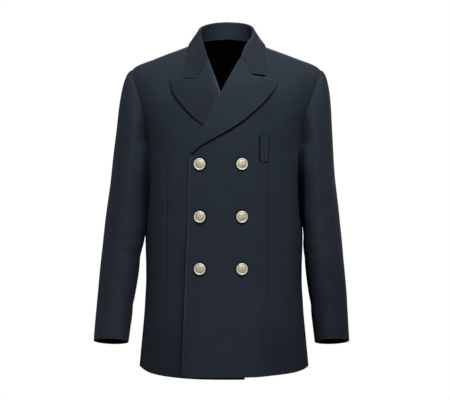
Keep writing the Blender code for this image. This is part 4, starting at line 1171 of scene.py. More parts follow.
# %% [markdown]
# ## Lapels
# A lapel is the top of the front turned back over itself along the roll line. Its leg and
# fold show at the neck, and its leaf lies on the chest, standing off it a little more
# towards the tip. It could be a cloth simulation, but a pressed lapel is stiff, so it is
# drawn in columns that turn over the fold and then run out to the free edge.

# %% The fold along a roll line
LAPEL_LIFT, LAPEL_LIFT_REACH = 3.4 * MM, 80.0 * MM
FOLD_STEPS = 14
HEAD_FADE = 2.2
CLEAR_OF_FRONT, COVERED_SPAN = 8.0 * MM, 34.0 * MM


def along_line(xs, zs, shares):
    """Places at shares of the way along a smooth line through the given ones."""
    reach = np.concatenate([[0], np.cumsum(np.hypot(np.diff(xs), np.diff(zs)))])
    return curve(reach, xs)(shares * reach[-1]), curve(reach, zs)(shares * reach[-1])


def fold_frames(edge, z, radius, offset_at):
    """Middle of the fold on the roll line, with its directions out of and into the cloth."""
    step = 1.0 * MM
    x = edge(z)
    slope = (edge(z + step) - edge(z - step)) / (2 * step)
    points, normals = front_at(x + radius, z)
    above = front_at(x + radius + slope * step, z + step)[0]
    below = front_at(x + radius - slope * step, z - step)[0]
    inward = unit(np.cross(normals, unit(above - below)))
    inward = np.where(inward[:, :1] < 0, -inward, inward)
    middle = points + (offset_at(points) + radius - WALL)[:, None] * normals
    return middle, normals, inward


def fold_columns(middle, out, inward, radius):
    """Columns of the cloth's middle as it turns over the fold, from under to over."""
    arc = (radius - WALL / 2)[:, None]
    turns = np.linspace(0, math.pi, FOLD_STEPS + 1)
    return [middle - arc * (math.cos(t) * out + math.sin(t) * inward) for t in turns]


print("columns over a fold:", FOLD_STEPS + 1)


# %% The cloth of a lapel
def leaf_height(away, radius, covered=0.0):
    """How far the middle of a leaf stands off the cloth under it."""
    return 2 * radius - 1.5 * WALL + LAPEL_LIFT * ease(away / LAPEL_LIFT_REACH) * (1 - covered)


def lapel_cloth(edge, radius_at, head, free_edge, offset_at, covered, rows=120, leaf_columns=60):
    """The middle surface of a lapel: a short leg, the fold, and the leaf to its free edge."""
    z = np.linspace(float(height_on_row(edge, upper_turns()[GORGE_ROWS - 1])), FOLD_END_Z, rows)
    x, radius = edge(z), radius_at(z)
    middle, out, inward = fold_frames(edge, z, radius, offset_at)
    columns = fold_columns(middle, out, inward, radius)
    columns.insert(0, columns[0] + FOLD_LEG * inward)
    edge_x, edge_z = along_line(free_edge["x"], free_edge["z"], (z[0] - z) / (z[0] - z[-1]))
    start = np.stack([x + radius, z], axis=-1)
    finish = np.stack([edge_x, edge_z], axis=-1)
    fade = ((z - z[-1]) / (z[0] - z[-1]))[:, None] ** HEAD_FADE
    corners = np.linspace(0, 1, len(head["x"]) + 1)
    head_x = np.concatenate([[start[0, 0]], head["x"]])
    head_z = np.concatenate([[start[0, 1]], head["z"]])
    for share in np.linspace(0, 1, leaf_columns + 1)[1:]:
        place = np.array([np.interp(share, corners, head_x), np.interp(share, corners, head_z)])
        straight = start[0] + share * (finish[0] - start[0])
        leaf = start + share * (finish - start) + fade * (place - straight)
        points, normals = front_at(leaf[:, 0], leaf[:, 1])
        away = np.linalg.norm(leaf - start, axis=-1)
        height = offset_at(points) + leaf_height(away, radius, covered(leaf[:, 0], leaf[:, 1]))
        columns.append(points + height[:, None] * normals)
    return np.stack(columns, axis=1)


def never_covered(x, z):
    return np.zeros(np.shape(x))


def under_top_front(x, z):
    """1 where the top front lies over the under lapel, 0 well clear of it."""
    return 1 - ease((top_edge_x(z) + x - CLEAR_OF_FRONT) / COVERED_SPAN)


def sheet_normals(grid):
    """Normals of an open grid, from its own rows and columns."""
    return unit(np.cross(np.gradient(grid, axis=1), np.gradient(grid, axis=0)))


print("a leaf stands off by:", round(float(leaf_height(LAPEL_LIFT_REACH, FOLD_RADIUS)), 4), "m")

# %% Turned edges, with painted highlights along edges and folds
EDGE_BEAD, EDGE_BEAD_AWAY, EDGE_BEAD_WIDTH = 0.25 * MM, 1.6 * MM, 1.3 * MM
STITCH_DEPTH, STITCH_AWAY, STITCH_WIDTH = 0.25 * MM, 5.0 * MM, 1.1 * MM
# Painted highlights along a turned edge and along the crown of a fold
EDGE_HIGHLIGHT, EDGE_HIGHLIGHT_AWAY, EDGE_HIGHLIGHT_WIDTH = 0.2, 0.9 * MM, 0.9 * MM
ROLL_HIGHLIGHT, ROLL_WIDTH, ROLL_TURN = 0.36, 1.2 * MM, 0.55 * math.pi


def pressed_edge(distance):
    """A bead at a turned edge and the faint line of the stitches that hold it."""
    bead = EDGE_BEAD * fading(distance - EDGE_BEAD_AWAY, EDGE_BEAD_WIDTH)
    return bead - STITCH_DEPTH * fading(distance - STITCH_AWAY, STITCH_WIDTH)


def edge_highlight(distance):
    """A painted highlight along a turned edge, paler than the cloth behind it."""
    return EDGE_HIGHLIGHT * fading(distance - EDGE_HIGHLIGHT_AWAY, EDGE_HIGHLIGHT_WIDTH)


def roll_highlight(from_leg):
    """A painted highlight along the crown of a lapel's or a collar's fold."""
    crown = FOLD_LEG + ROLL_TURN * (FOLD_RADIUS - WALL / 2)
    return ROLL_HIGHLIGHT * fading(from_leg - crown, ROLL_WIDTH)


print("stitches", STITCH_AWAY, "m from a turned edge")

# %% Lapels
# Painted shade over the leaf of the under lapel, which is turned from the light
LAPEL_SIDE_SHADE = {1: 0.0, -1: 0.17}
LEAF_START, LEAF_FADE = 14.0 * MM, 12.0 * MM


def lapel_shell(name, cloth, side, rows, columns, seed):
    points, normals, edges = shell_grid(
        cloth, sheet_normals(cloth), rows, columns, bottom=GORGE_GAP / 2,
    )
    sheet = sheet_normals(points)
    normals = np.where(np.sum(sheet * normals, axis=-1, keepdims=True) < 0, -sheet, sheet)
    away = np.minimum(edges["right"], edges["bottom"])
    leaf = ease((edges["left"] - LEAF_START) / LEAF_FADE)
    relief = pressed_edge(away) * leaf + handled(points, seed, PRESSED_WAVE) * leaf
    points = points + relief[..., None] * normals
    # Painted highlights along the edge and the fold's crown, and painted shade on the under lapel's
    # leaf
    marks = edge_highlight(away) * leaf + roll_highlight(edges["left"]) - LAPEL_SIDE_SHADE[side] * leaf
    shape = lean(mirrored(points, side)), mirrored(normals, side)
    return sewn_shell(name, *shape, edges, serge, serge, marks)


lapels = {
    "lapel_left": lapel_shell("top_lapel", lapel_cloth(
        top_edge_x, top_radius, TOP_LAPEL_HEAD, TOP_LAPEL_EDGE, lap_offset, never_covered,
    ), side=1, rows=150, columns=80, seed=51),
    "lapel_right": lapel_shell("under_lapel", lapel_cloth(
        under_edge_x, under_radius, UNDER_LAPEL_HEAD, UNDER_LAPEL_EDGE, no_lap, under_top_front,
    ), side=-1, rows=150, columns=80, seed=57),
}

# %% [markdown]
# ## Collar
# The collar is one folded piece. Its stand rises from the neck seam, rolls over at the
# neck and falls to a free edge that covers the seam. Its ends meet the lapels along the
# gorge, down to the notch. Each half is drawn from three lines, the foot, the fold and
# the free edge, with the cloth running over the fold between them.

# %% Collar lines
LEFT_COLLAR = table("fold_x fold_y fold_z edge_x edge_y off", (
    (0, 75, 78, 0, 77, 5), (28, 70.5, 76, 32, 70, 5), (50.5, 54, 69.5, 59.5, 52, 5),
    (62, 27, 58, 78.5, 26, 4.5), (63.8, -2, 43, 86.5, -3, 4.5), (59.5, -26, 23, 90.5, -32, 4.5),
    (50.5, -48, 0, 90.5, -57, 5), (42, -72, 0, 89, -77, 6),
))
RIGHT_COLLAR = table("fold_x fold_y fold_z edge_x edge_y off", (
    (0, 75, 78, 0, 77, 5), (27.5, 70.5, 75.3, 31.5, 70, 5), (49, 54, 67.5, 58, 52, 5),
    (60.5, 27, 56.5, 77.5, 26, 4.5), (62.5, -2, 43, 84.5, -3, 4.5), (58.5, -26, 23, 87.5, -32, 4.5),
    (54, -48, 0, 88.5, -57, 5), (49, -72, 0, 91, -77, 6),
))
RIGHT_COLLAR_END = table("x z", ((52, -62), (63, -88.5), (74, -89), (85, -89), (96, -89)))
LEFT_COLLAR_END = table("x z", ((44, -60), (53, -80.5), (64, -81.3), (75.5, -82.1), (86.7, -83)))
COLLAR_END_SHARE = (0, 0, 0, 0, 0, 0.03, 0.14, 0.42, 1)
COLLAR_BULGE, COLLAR_CLEAR, STAND_GAP = 1.2 * MM, 3.4 * MM, 0.6 * MM
FRONT_STATIONS = 4
COLLAR_ROWS, STAND_COLUMNS, LEAF_COLUMNS = 90, 13, 45
TUCKED_DOWN, TUCKED_IN = 3.2 * MM, 1.2 * MM


def collar_seam(edge_x):
    """The neck seam from the centre back to the gorge, as the backs and fronts run to it."""
    xs = NECK_X * np.sin(np.linspace(0, math.pi / 2, NECK_COLUMNS + 1))
    back, back_normals = upper_cloth(xs, neck_turn(xs), False)
    turn = upper_turns()[GORGE_ROWS - 1:-1][::-1]
    front, front_normals = upper_cloth(edge_x(height_on_row(edge_x, turn)), turn, True)
    return np.concatenate([back, front]), np.concatenate([back_normals, front_normals])


def closer(rows, count):
    """More stations along the collar, smoothly between the ones that set its form."""
    places = np.linspace(0, len(rows) - 1, count)[None]
    data = np.asarray(rows, float).reshape(len(rows), -1)[None]
    out = along_rows(data, np.arange(len(rows), dtype=float)[None], places)[0]
    return out.reshape((count,) + np.shape(rows)[1:])


print("stations along half the collar:", len(COLLAR_END_SHARE))


# %% Collar fold and ends
def collar_fold(edge_x, line, offset_at, gorge_z):
    """Foot and middle of the fold at each station, with its ways up and out."""
    seam, seam_normals = collar_seam(edge_x)
    frames = fold_frames(edge_x, np.array([gorge_z]), np.array([FOLD_RADIUS]), offset_at)
    middle, out, inward = [row[0] for row in frames]
    fold = np.stack([line["fold_x"], line["fold_y"], line["fold_z"]], axis=-1)
    lying, lying_normals = resting_on(fold[:, 0], fold[:, 1])
    on_front = (fold[:, 2] == 0)[:, None]
    fold = np.where(on_front, lying + (FOLD_RADIUS - WALL) * lying_normals, fold)
    fold = np.concatenate([fold, [middle - FOLD_RADIUS * inward]])
    along = unit(np.gradient(fold, axis=0))
    along[0] = (1, 0, 0)
    up = fold - seam
    up[-1] = -inward
    up = unit(up - np.sum(up * along, axis=-1, keepdims=True) * along)
    outward = unit(np.cross(along, up))
    outward = np.where(np.sum(outward * seam_normals, axis=-1, keepdims=True) < 0, -outward, outward)
    up[-1], outward[-1] = -inward, out
    centre = fold - FOLD_RADIUS * up
    centre[-1] = middle
    share = np.linspace(0, 1, FRONT_STATIONS + 1)
    share = np.concatenate([np.zeros(len(seam) - len(share)), share])
    foot = seam + STAND_GAP * up - (0.5 * WALL * share)[:, None] * seam_normals
    foot[:-1] -= TUCKED_DOWN * up[:-1] + TUCKED_IN * seam_normals[:-1]
    arc = FOLD_RADIUS - WALL / 2
    foot[-1] = middle - arc * out + FOLD_LEG * inward
    return foot, centre, up, outward


print("stand foot tucked down by:", TUCKED_DOWN, "m")


# %% Collar ends
def collar_end(edge_x, end, offset_at, gorge_z):
    """The line on which the leaf ends against the lapel, and its shares of the leaf."""
    gorge_start = np.array([float(edge_x(gorge_z)) + FOLD_RADIUS, gorge_z])
    places = np.stack([end["x"], end["z"]], axis=-1)
    corners = np.linspace(0, 1, len(places) + 1)
    shares = np.linspace(0, 1, LEAF_COLUMNS + 1)[1:]
    places = np.concatenate([gorge_start[None], places])
    places = np.stack([np.interp(shares, corners, places[:, k]) for k in (0, 1)], axis=-1)
    lying, normals = front_at(places[:, 0], places[:, 1])
    away = np.linalg.norm(places - gorge_start, axis=-1)
    return lying + (offset_at(lying) + leaf_height(away, FOLD_RADIUS))[:, None] * normals, shares


def collar_half(edge_x, line, end, offset_at):
    """The middle surface of half the collar: stand, fold and leaf, centre back to gorge."""
    gorge_z = float(height_on_row(edge_x, upper_turns()[GORGE_ROWS - 1]))
    foot, centre, up, outward = collar_fold(edge_x, line, offset_at, gorge_z)
    ending, shares = collar_end(edge_x, end, offset_at, gorge_z)
    edge, edge_normals = resting_on(line["edge_x"], line["edge_y"])
    edge = np.concatenate([edge + line["off"][:, None] * edge_normals, ending[-1:]])
    weight = closer(COLLAR_END_SHARE, COLLAR_ROWS)[:, None]
    foot, centre, edge = [closer(rows, COLLAR_ROWS) for rows in (foot, centre, edge)]
    up, outward = [unit(closer(rows, COLLAR_ROWS)) for rows in (up, outward)]
    turning = fold_columns(centre, outward, -up, np.full(COLLAR_ROWS, FOLD_RADIUS))
    steps = np.linspace(0, 1, STAND_COLUMNS + 1)[:-1]
    columns = [foot + (turning[0] - foot) * t for t in steps] + turning
    start = turning[-1]
    for q, target in zip(shares, ending):
        leaf = start + q * (edge - start)
        leaf = leaf + COLLAR_BULGE * math.sin(math.pi * q) * (1 - weight) * outward
        leaf = leaf + weight * (target - leaf[-1])
        lying, normals = resting_on(leaf[:, 0], leaf[:, 1])
        short = COLLAR_CLEAR - np.sum((leaf - lying) * normals, axis=-1)
        columns.append(leaf + (np.maximum(short, 0)[:, None] * (1 - weight)) * normals)
    return np.stack(columns, axis=1)


print("columns across the collar:", STAND_COLUMNS + FOLD_STEPS + 1 + LEAF_COLUMNS)

# %% Collar
COLLAR_LEAF_START, COLLAR_LEAF_FADE, COLLAR_EDGE_SHARE = 45.0 * MM, 20.0 * MM, 0.6
LEAF_SHADE, SHADED_SIDE, SHADED_SPREAD = 0.13, 0.13, 40.0 * MM
# The lining inside the stand ends in an arch below its crown
LINING_RISE, LINING_FALL, LINING_HALF, LINING_EDGE = 0.17, 5.0 * MM, 55.0 * MM, 1.6 * MM
CROWN_OUT, CROWN_BACK, CROWN_UP = 1.0, 0.6, 2.0
CROWN_INSIDE, CROWN_FADE = 2.0 * MM, 3.0 * MM
# Where the painted highlight along the stand's crown lies, and how it fades out towards the back
CROWN_PALE_AWAY, CROWN_PALE_Y, CROWN_PALE_FADE = 1.5 * MM, 30.0 * MM, 60.0 * MM
LEAST_LINED = 0.02

left = collar_half(top_edge_x, LEFT_COLLAR, LEFT_COLLAR_END, lap_offset)
right = mirrored(collar_half(under_edge_x, RIGHT_COLLAR, RIGHT_COLLAR_END, no_lap), -1)
collar_cloth = np.concatenate([right[:0:-1], left])
points, normals, edges = shell_grid(
    collar_cloth, sheet_normals(collar_cloth), rows=210, columns=90,
    bottom=GORGE_GAP / 2, top=GORGE_GAP / 2,
)
normals = sheet_normals(points)
leaf = ease((edges["left"] - COLLAR_LEAF_START) / COLLAR_LEAF_FADE)
relief = (pressed_edge(edges["right"]) + handled(points, 61, PRESSED_WAVE)) * leaf
points = points + relief[..., None] * normals
x, y, z = np.moveaxis(points, -1, 0)
crown = np.argmin(CROWN_OUT * np.abs(x) + CROWN_BACK * y - CROWN_UP * z, axis=1)
rolled = edges["left"] - np.take_along_axis(edges["left"], crown[:, None], axis=1)
nape = points[len(points) // 2, 0]
arch = nape[2] - LINING_RISE * (nape[1] - y) - LINING_FALL * (x / LINING_HALF) ** 2
lined = ease((arch - z) / LINING_EDGE + 0.5) * ease((-rolled - CROWN_INSIDE) / CROWN_FADE)
# Painted highlights along the collar's edge and the crown of its stand, fading out towards the back,
# and painted shade over the leaf, more on the wearer's right
wear_and_highlight = ROLL_HIGHLIGHT * ease((CROWN_PALE_Y - y) / CROWN_PALE_FADE)
wear_and_highlight = wear_and_highlight * fading(rolled - CROWN_PALE_AWAY, ROLL_WIDTH)
shaded = LEAF_SHADE + SHADED_SIDE * ease(-x / SHADED_SPREAD)
marks = COLLAR_EDGE_SHARE * edge_highlight(edges["right"]) * leaf + wear_and_highlight - shaded
marks = np.where(lined > LEAST_LINED, -lined, marks)
collar = sewn_shell("folded_collar", lean(points), normals, edges, serge, serge, marks)

# %% [markdown]
# ## Sleeves
# A sleeve is cut in two: a wide top sleeve and a narrow under one. Its head is eased into
# the armhole over a roll of wadding, so it stands up a little from the seam, and the
# sleeve bends forward at the elbow with soft creases inside the bend. The whole sleeve
# is drawn first, as rings down the arm, and then cut along its two seams.

# %% Sleeve form
SLEEVE = table("z outer inner middle_y half_depth", (
    (-330, 273.5, 188.5, 0, 76), (-430, 284.5, 189.8, -4, 71), (-531, 293.0, 197.5, -14, 64),
    (-600, 297.5, 207.0, -27, 58.5), (-695, 301.0, 217.5, -50, 53),
))
SLEEVE_TILT = (2.0, 4.0, 8.0, 11.5, 15.5)
SLEEVE_TOE_IN = math.radians(13.0)
CAP_FOOT_Z, CUFF_Z, CUFF_RISE = -330.0 * MM, -695.0 * MM, 0.045
CUFF_SWING, SWING_AT_CAP = -5.5 * MM, 0.45
TOE_SHARE, LEAST_WIDTH = 0.6, 1e-6
# Creases: height, degrees round the arm, half angle, half height, depth, slant
CREASES = (
    (-455, 135, 60, 12, 2.6, 10), (-492, 120, 55, 11, 2.0, -8), (-425, 205, 55, 12, 2.0, 6),
    (-560, 75, 50, 13, 1.4, 9), (-385, 60, 45, 14, 1.6, -12), (-610, 160, 60, 13, 1.8, 5),
)
UPPER_ROWS = GORGE_ROWS + NECK_ROWS
FRONT_SEAM = UPPER_ROWS
HIND_SEAM = UPPER_ROWS + SIDE_COLUMNS + 5  # five rows up the back's armhole
ROUND_ARM = UPPER_ROWS + SIDE_COLUMNS + UPPER_ROWS
sleeve_outer, sleeve_inner, sleeve_middle_y, sleeve_half_depth = [
    column(SLEEVE, "z", name) for name in ("outer", "inner", "middle_y", "half_depth")
]
sleeve_tilt = curve(SLEEVE["z"][::-1], np.array(SLEEVE_TILT)[::-1])


def armhole(place):
    """The armhole seam at places round it: the shoulder is 0, the front seam 12, and so on."""
    turns = np.concatenate([[math.pi / 2], upper_turns()])
    steps = np.arange(UPPER_ROWS + 1.0)
    front_turn = np.interp(UPPER_ROWS - place, steps, turns)
    back_turn = np.interp(place - UPPER_ROWS - SIDE_COLUMNS, steps, turns)
    front = upper_cloth(armhole_front_x(height_on_row(armhole_front_x, front_turn)), front_turn, True)
    back_x = armhole_back_x(height_on_row(armhole_back_x, back_turn, ridge_back))
    back = upper_cloth(back_x, back_turn, False)
    across = np.clip((place - UPPER_ROWS) / SIDE_COLUMNS, 0, 1)
    first = angle_at(seam_ahead(CHEST_Z), True)
    last = angle_at(seam_behind(CHEST_Z), False)
    side = lower_cloth(first + (last - first) * across, CHEST_Z - armhole_dip(across))
    ahead = (place < UPPER_ROWS)[..., None]
    behind = (place > UPPER_ROWS + SIDE_COLUMNS)[..., None]
    return [np.where(ahead, f, np.where(behind, b, s)) for f, s, b in zip(front, side, back)]


print("places round an armhole:", ROUND_ARM)


# %% Sleeve rings
def crease_depth(angle, z):
    total = np.zeros(np.broadcast(angle, z).shape)
    for height, middle, half_angle, half_height, depth, slant in CREASES:
        turn = turned_by(angle, middle)
        rise = (z / MM - height - slant * turn / half_angle) / half_height
        total += depth * MM * np.exp(-((turn / half_angle) ** 2) - rise**2)
    return total


def sleeve_ring(angle, z, swing):
    """Point of the sleeve at an angle round it and a level down the arm."""
    outer, inner = sleeve_outer(z), sleeve_inner(z)
    middle_y, half_depth = sleeve_middle_y(z), sleeve_half_depth(z)
    tilt = np.radians(sleeve_tilt(z))
    reach = (outer - inner) / 2
    sine, cosine = math.sin(SLEEVE_TOE_IN), math.cos(SLEEVE_TOE_IN)
    half_width = np.sqrt(np.maximum(reach**2 - (half_depth * sine) ** 2, LEAST_WIDTH)) / cosine
    press = crease_depth(angle, z)
    across = (half_width - press) * np.cos(angle)
    along = -(half_depth - press) * np.sin(angle)
    x = (outer + inner) / 2 + across * cosine + along * sine
    y = middle_y - across * sine * TOE_SHARE + along * cosine
    share = (CAP_FOOT_Z - z) / (CAP_FOOT_Z - CUFF_Z)
    z = z - np.tan(tilt) * (y - middle_y) + CUFF_RISE * share * (x - (outer + inner) / 2)
    swung = swing * (SWING_AT_CAP + (1 - SWING_AT_CAP) * share)
    return np.stack([x + swung, y, z], axis=-1)


print("sleeve at the cuff:", round(float(sleeve_outer(CUFF_Z) - sleeve_inner(CUFF_Z)), 4), "m wide")

# %% Sleeve cloth
TUCK, TUCK_UNDER, UNDER_LIFT = 1.8 * MM, 0.8 * MM, 0.9 * MM
DOWN_STEP = 10 * MM
# The way the cloth leaves the armhole: outwards, forwards and down, over and under the arm
LEAVE_OUT, LEAVE_OUT_LESS, LEAVE_FORWARD = 1.0, 0.80, 0.42
LEAVE_DOWN, LEAVE_DOWN_MORE, LEAVE_DOWN_SIDE = 0.30, 0.70, 0.10
CAP_PULL, CAP_PULL_MORE, FOOT_PULL, CAP_CROWD = 12 * MM, 22 * MM, 0.36, 1.35


def sleeve_cloth(side, cap_rows=90, arm_rows=150, around=240):
    """The whole sleeve: rows from the armhole to the cuff, columns round it."""
    steps = np.arange(ROUND_ARM + 1.0)
    coarse = armhole(steps)[0]
    reach = np.concatenate([[0], np.cumsum(np.linalg.norm(np.diff(coarse, axis=0), axis=1))])
    place = np.linspace(0, ROUND_ARM, around + 1)
    place = np.sort(np.unique(np.concatenate([place, [FRONT_SEAM, HIND_SEAM]])))
    angles = 2 * math.pi * curve(steps, reach / reach[-1])(place)
    start, body_normals = armhole(place)
    swing = CUFF_SWING * side
    foot = mirrored(sleeve_ring(angles, CAP_FOOT_Z + 0 * angles, swing), side)
    under = mirrored(sleeve_ring(angles, CAP_FOOT_Z - DOWN_STEP + 0 * angles, swing), side)
    down = (under - foot) / DOWN_STEP
    low = 0.5 - 0.5 * np.cos(angles)
    leave = unit(np.stack([
        side * (LEAVE_OUT - LEAVE_OUT_LESS * low), -LEAVE_FORWARD * np.sin(angles),
        -LEAVE_DOWN - LEAVE_DOWN_MORE * low - LEAVE_DOWN_SIDE * np.abs(np.sin(angles)),
    ], axis=-1))
    normals = mirrored(body_normals, side)
    seam = lean(mirrored(start, side)) + SEAM_GAP * leave + (UNDER_LIFT * low)[:, None] * normals
    span = np.linalg.norm(foot - seam, axis=-1)
    first = seam + (CAP_PULL + CAP_PULL_MORE * (1 - low))[:, None] * leave
    last = foot - down * (FOOT_PULL * span)[:, None]
    rows = [seam - TUCK * leave - (TUCK_UNDER + UNDER_LIFT * low)[:, None] * normals]
    for t in np.linspace(0, 1, cap_rows + 1)[:-1] ** CAP_CROWD:
        rows.append(seam * (1 - t) ** 3 + first * 3 * t * (1 - t) ** 2
                    + last * 3 * t * t * (1 - t) + foot * t**3)
    for z in np.linspace(CAP_FOOT_Z, CUFF_Z, arm_rows):
        rows.append(mirrored(sleeve_ring(angles, z + 0 * angles, swing), side))
    return np.array(rows), place


def tube_normals(grid):
    """Outward normals of a tube grid whose last column repeats its first."""
    ring = grid[:, :-1]
    around = np.roll(ring, -1, axis=1) - np.roll(ring, 1, axis=1)
    normals = unit(np.cross(around, np.gradient(ring, axis=0)))
    if np.sum(normals * (ring - ring.mean(axis=1, keepdims=True))) < 0:
        normals = -normals
    return np.concatenate([normals, normals[:, :1]], axis=1)


print("columns round a whole sleeve:", len(sleeve_cloth(1)[1]))

# %% [markdown]
# ### Where the arm rests on the side
# A hanging sleeve touches the coat's side from the armpit down to about the elbow. The
# inner cloth is moved on to the torso's form there, pressed in by a hair, so that no
# light shows between them.

# %% Sleeves leaning on the sides
TOUCH_TOP_Z, TOUCH_FADE = -225.0 * MM, 30.0 * MM
TOUCH_LOW = {1: (-434.0 * MM, 50.0 * MM), -1: (-500.0 * MM, 95.0 * MM)}
TOUCH_REACH, TOUCH_PRESS, TOUCH_HALF_DEPTH = 15.0 * MM, 0.6 * MM, 90 * MM


def torso_side_x(y, z):
    """How far out the torso's cloth lies at a depth and height, below the chest."""
    ahead = y < 0
    depth, power = np.where(ahead, torso_front(z), torso_back(z)), form_power(ahead)
    along = np.clip(np.abs(y) / depth, 0, 0.9999)
    across = (1 - along**power) ** (1 / power)
    return lower_cloth(np.arctan2(across, np.where(ahead, along, -along)), z)[0][..., 0]


def leaning_in(points, side):
    """The upper arm hangs against the side: its inner cloth rests on the torso."""
    x, y, z = points[..., 0] * side, points[..., 1], points[..., 2]
    torso = torso_side_x(y, np.minimum(z, CHEST_Z)) + WALL / 2 - TOUCH_PRESS
    low, fade = TOUCH_LOW[side]
    share = ease((TOUCH_TOP_Z - z) / TOUCH_FADE) * ease((z - low) / fade)
    inner = ease((torso + 3 * TOUCH_REACH - x) / (2 * TOUCH_REACH))
    near = np.abs(y) < TOUCH_HALF_DEPTH
    target = np.where(near, np.maximum(torso, x - TOUCH_REACH * share * inner), x)
    moved = np.array(points)
    moved[..., 0] = side * np.where(share > 0, target, x)
    return moved


print("arms rest down to:", {side: low for side, (low, fade) in TOUCH_LOW.items()})

# %% Sleeves
HEAD_ROLL, HEAD_ROLL_AWAY, HEAD_ROLL_WIDTH = 1.3 * MM, 9.0 * MM, 6.0 * MM
HEAD_LOW_Z, HEAD_RISE = -150.0 * MM, 60.0 * MM
CUFF_CALM = 60.0 * MM
SLEEVE_SHADE, SHADE_SET_IN = {1: 1.0, -1: 0.75}, 3.0 * MM
CUFF_SHADE, CUFF_SHADE_Z, CUFF_SHADE_FALL = {1: 0.26, -1: 0.04}, -400.0 * MM, 210.0 * MM


def sleeve_shell(name, cloth, outward, side, columns, seed):
    points, normals, edges = shell_grid(
        cloth, outward, rows=160, columns=columns, left=SEWN, right=SEWN,
    )
    relief = handled(points, seed, EASED_WAVE) * ease(edges["bottom"] / CUFF_CALM)
    relief += seam_dip(edges["left"]) + seam_dip(edges["right"])
    high = ease((points[..., 2] - HEAD_LOW_Z) / HEAD_RISE)
    relief += HEAD_ROLL * high * fading(edges["top"] - HEAD_ROLL_AWAY, HEAD_ROLL_WIDTH)
    points = leaning_in(points + relief[..., None] * normals, side)
    z = points[..., 2]
    # Painted shade in the seams' grooves, beside the arm and towards the cuff
    seams = fading(edges["left"], SEAM_SHADE_WIDTH) + fading(edges["right"], SEAM_SHADE_WIDTH)
    inner = np.abs(points[..., 0]) - sleeve_inner(np.clip(z, CUFF_Z, CAP_FOOT_Z))
    marks = SLEEVE_SHADE[side] * arm_shade(inner + SHADE_SET_IN, z) - SEAM_SHADE * seams
    marks = marks - CUFF_SHADE[side] * ease((CUFF_SHADE_Z - z) / CUFF_SHADE_FALL)
    return sewn_shell(f"{name}_cloth", points, normals, edges, serge, satin, marks)


sleeves = {}
for word, side in (("left", 1), ("right", -1)):
    whole, place = sleeve_cloth(side)
    outward = tube_normals(whole)
    middle = whole - WALL / 2 * outward
    front_seam = int(np.argmin(np.abs(place - FRONT_SEAM)))
    hind_seam = int(np.argmin(np.abs(place - HIND_SEAM)))
    last = len(place) - 1
    top = [c % last for c in range(hind_seam, last + front_seam + 1)]
    under = list(range(front_seam, hind_seam + 1))
    for piece, columns, count, seed in (("top_sleeve", top, 96, 71), ("under_sleeve", under, 54, 83)):
        name = f"{piece}_{word}"
        sleeves[name] = sleeve_shell(
            name, middle[:, columns], outward[:, columns], side, count, seed + side,
        )

# %% [markdown]
# ## Badge tab
# A small tab of the same cloth is sewn above the breast, with eyelets for the pin of a
# badge. It lies flat on the chest beside the dart. Eyelets could be rings of their own,
# but sewn ones are no more than a hole in a low welt, which the fine grid holds. The
# hole's darkness is painted shade, and the welt carries a painted highlight.

# %% A frame on the top front
TAB_THICK, TAB_STANDOFF, TAB_CORNER = 1.4 * MM, 1.0 * MM, 3.0 * MM


def place_on_front(x, z, height):
    """A frame on the top front: a point above the cloth, and across, up and out."""
    point, normal = front_at(np.array([x]), np.array([z]))
    beside = front_at(np.array([x + MM]), np.array([z]))[0]
    point = point + (lap_offset(point) + height)[:, None] * normal
    point, normal = lean(point)[0], normal[0]
    across = unit((beside - point)[0] - np.dot((beside - point)[0], normal) * normal)
    return point, across, unit(np.cross(normal, across)), normal


tab_frame = place_on_front(TAB_CENTRE_X, (TAB_TOP_Z + TAB_LOW_Z) / 2, TAB_STANDOFF)
print("tab at:", np.round(tab_frame[0], 4))


# %% Badge tab
def tab_cloth(rows=60, columns=24):
    """The tab's middle surface, with its two lower corners cut off."""
    point, across, up, out = tab_frame
    half_width, half_length = TAB_WIDTH / 2, (TAB_TOP_Z - TAB_LOW_Z) / 2
    v = np.linspace(-half_length, half_length, rows)[:, None]
    left_cut = np.maximum(TAB_CORNER - (v + half_length), 0)
    right_cut = np.maximum(TAB_CORNER / 2 - (v + half_length), 0)
    u = np.linspace(0, 1, columns)[None] * (TAB_WIDTH - left_cut - right_cut) - half_width + left_cut
    return point + u[..., None] * across + (v + 0 * u)[..., None] * up + TAB_THICK / 2 * out


EYELETS = table("up radius", ((16.3, 1.5), (-10.2, 2.0), (-22.6, 1.4)))
# A painted highlight on each eyelet's welt; painted shade in each hole and round the tab's edge
EYELET_DEPTH, WELT_HEIGHT, WELT_HIGHLIGHT = 0.7 * MM, 0.25 * MM, 0.12
TAB_STITCH_DEPTH, TAB_STITCH_AWAY, TAB_STITCH_WIDTH = 0.25 * MM, 2.4 * MM, 0.5 * MM
TAB_EDGE_SHADE, TAB_EDGE_WIDTH = 0.3, 1.0 * MM
cloth = tab_cloth()
points, normals, edges = shell_grid(
    cloth, np.broadcast_to(tab_frame[3], cloth.shape), rows=120, columns=44,
)
edge_line = np.minimum.reduce(list(edges.values()))
spot = points - tab_frame[0]
relief = -TAB_STITCH_DEPTH * fading(edge_line - TAB_STITCH_AWAY, TAB_STITCH_WIDTH)
# Painted shade round the tab's edge
marks = -TAB_EDGE_SHADE * fading(edge_line, TAB_EDGE_WIDTH)
for height, radius in zip(EYELETS["up"], EYELETS["radius"]):
    away = np.hypot(spot @ tab_frame[1], spot @ tab_frame[2] - height)
    welt = fading(away - 2 * radius, 0.5 * radius)
    relief += WELT_HEIGHT * welt - EYELET_DEPTH * fading(away, radius)
    # A painted highlight on the welt, and the hole painted black as shade
    marks += WELT_HIGHLIGHT * welt - np.exp(-((away / radius) ** 4))
points = points + relief[..., None] * normals
tab = sewn_shell(
    "serge_badge_tab", points, normals, edges, serge, serge, np.maximum(marks, -1), TAB_THICK,
)

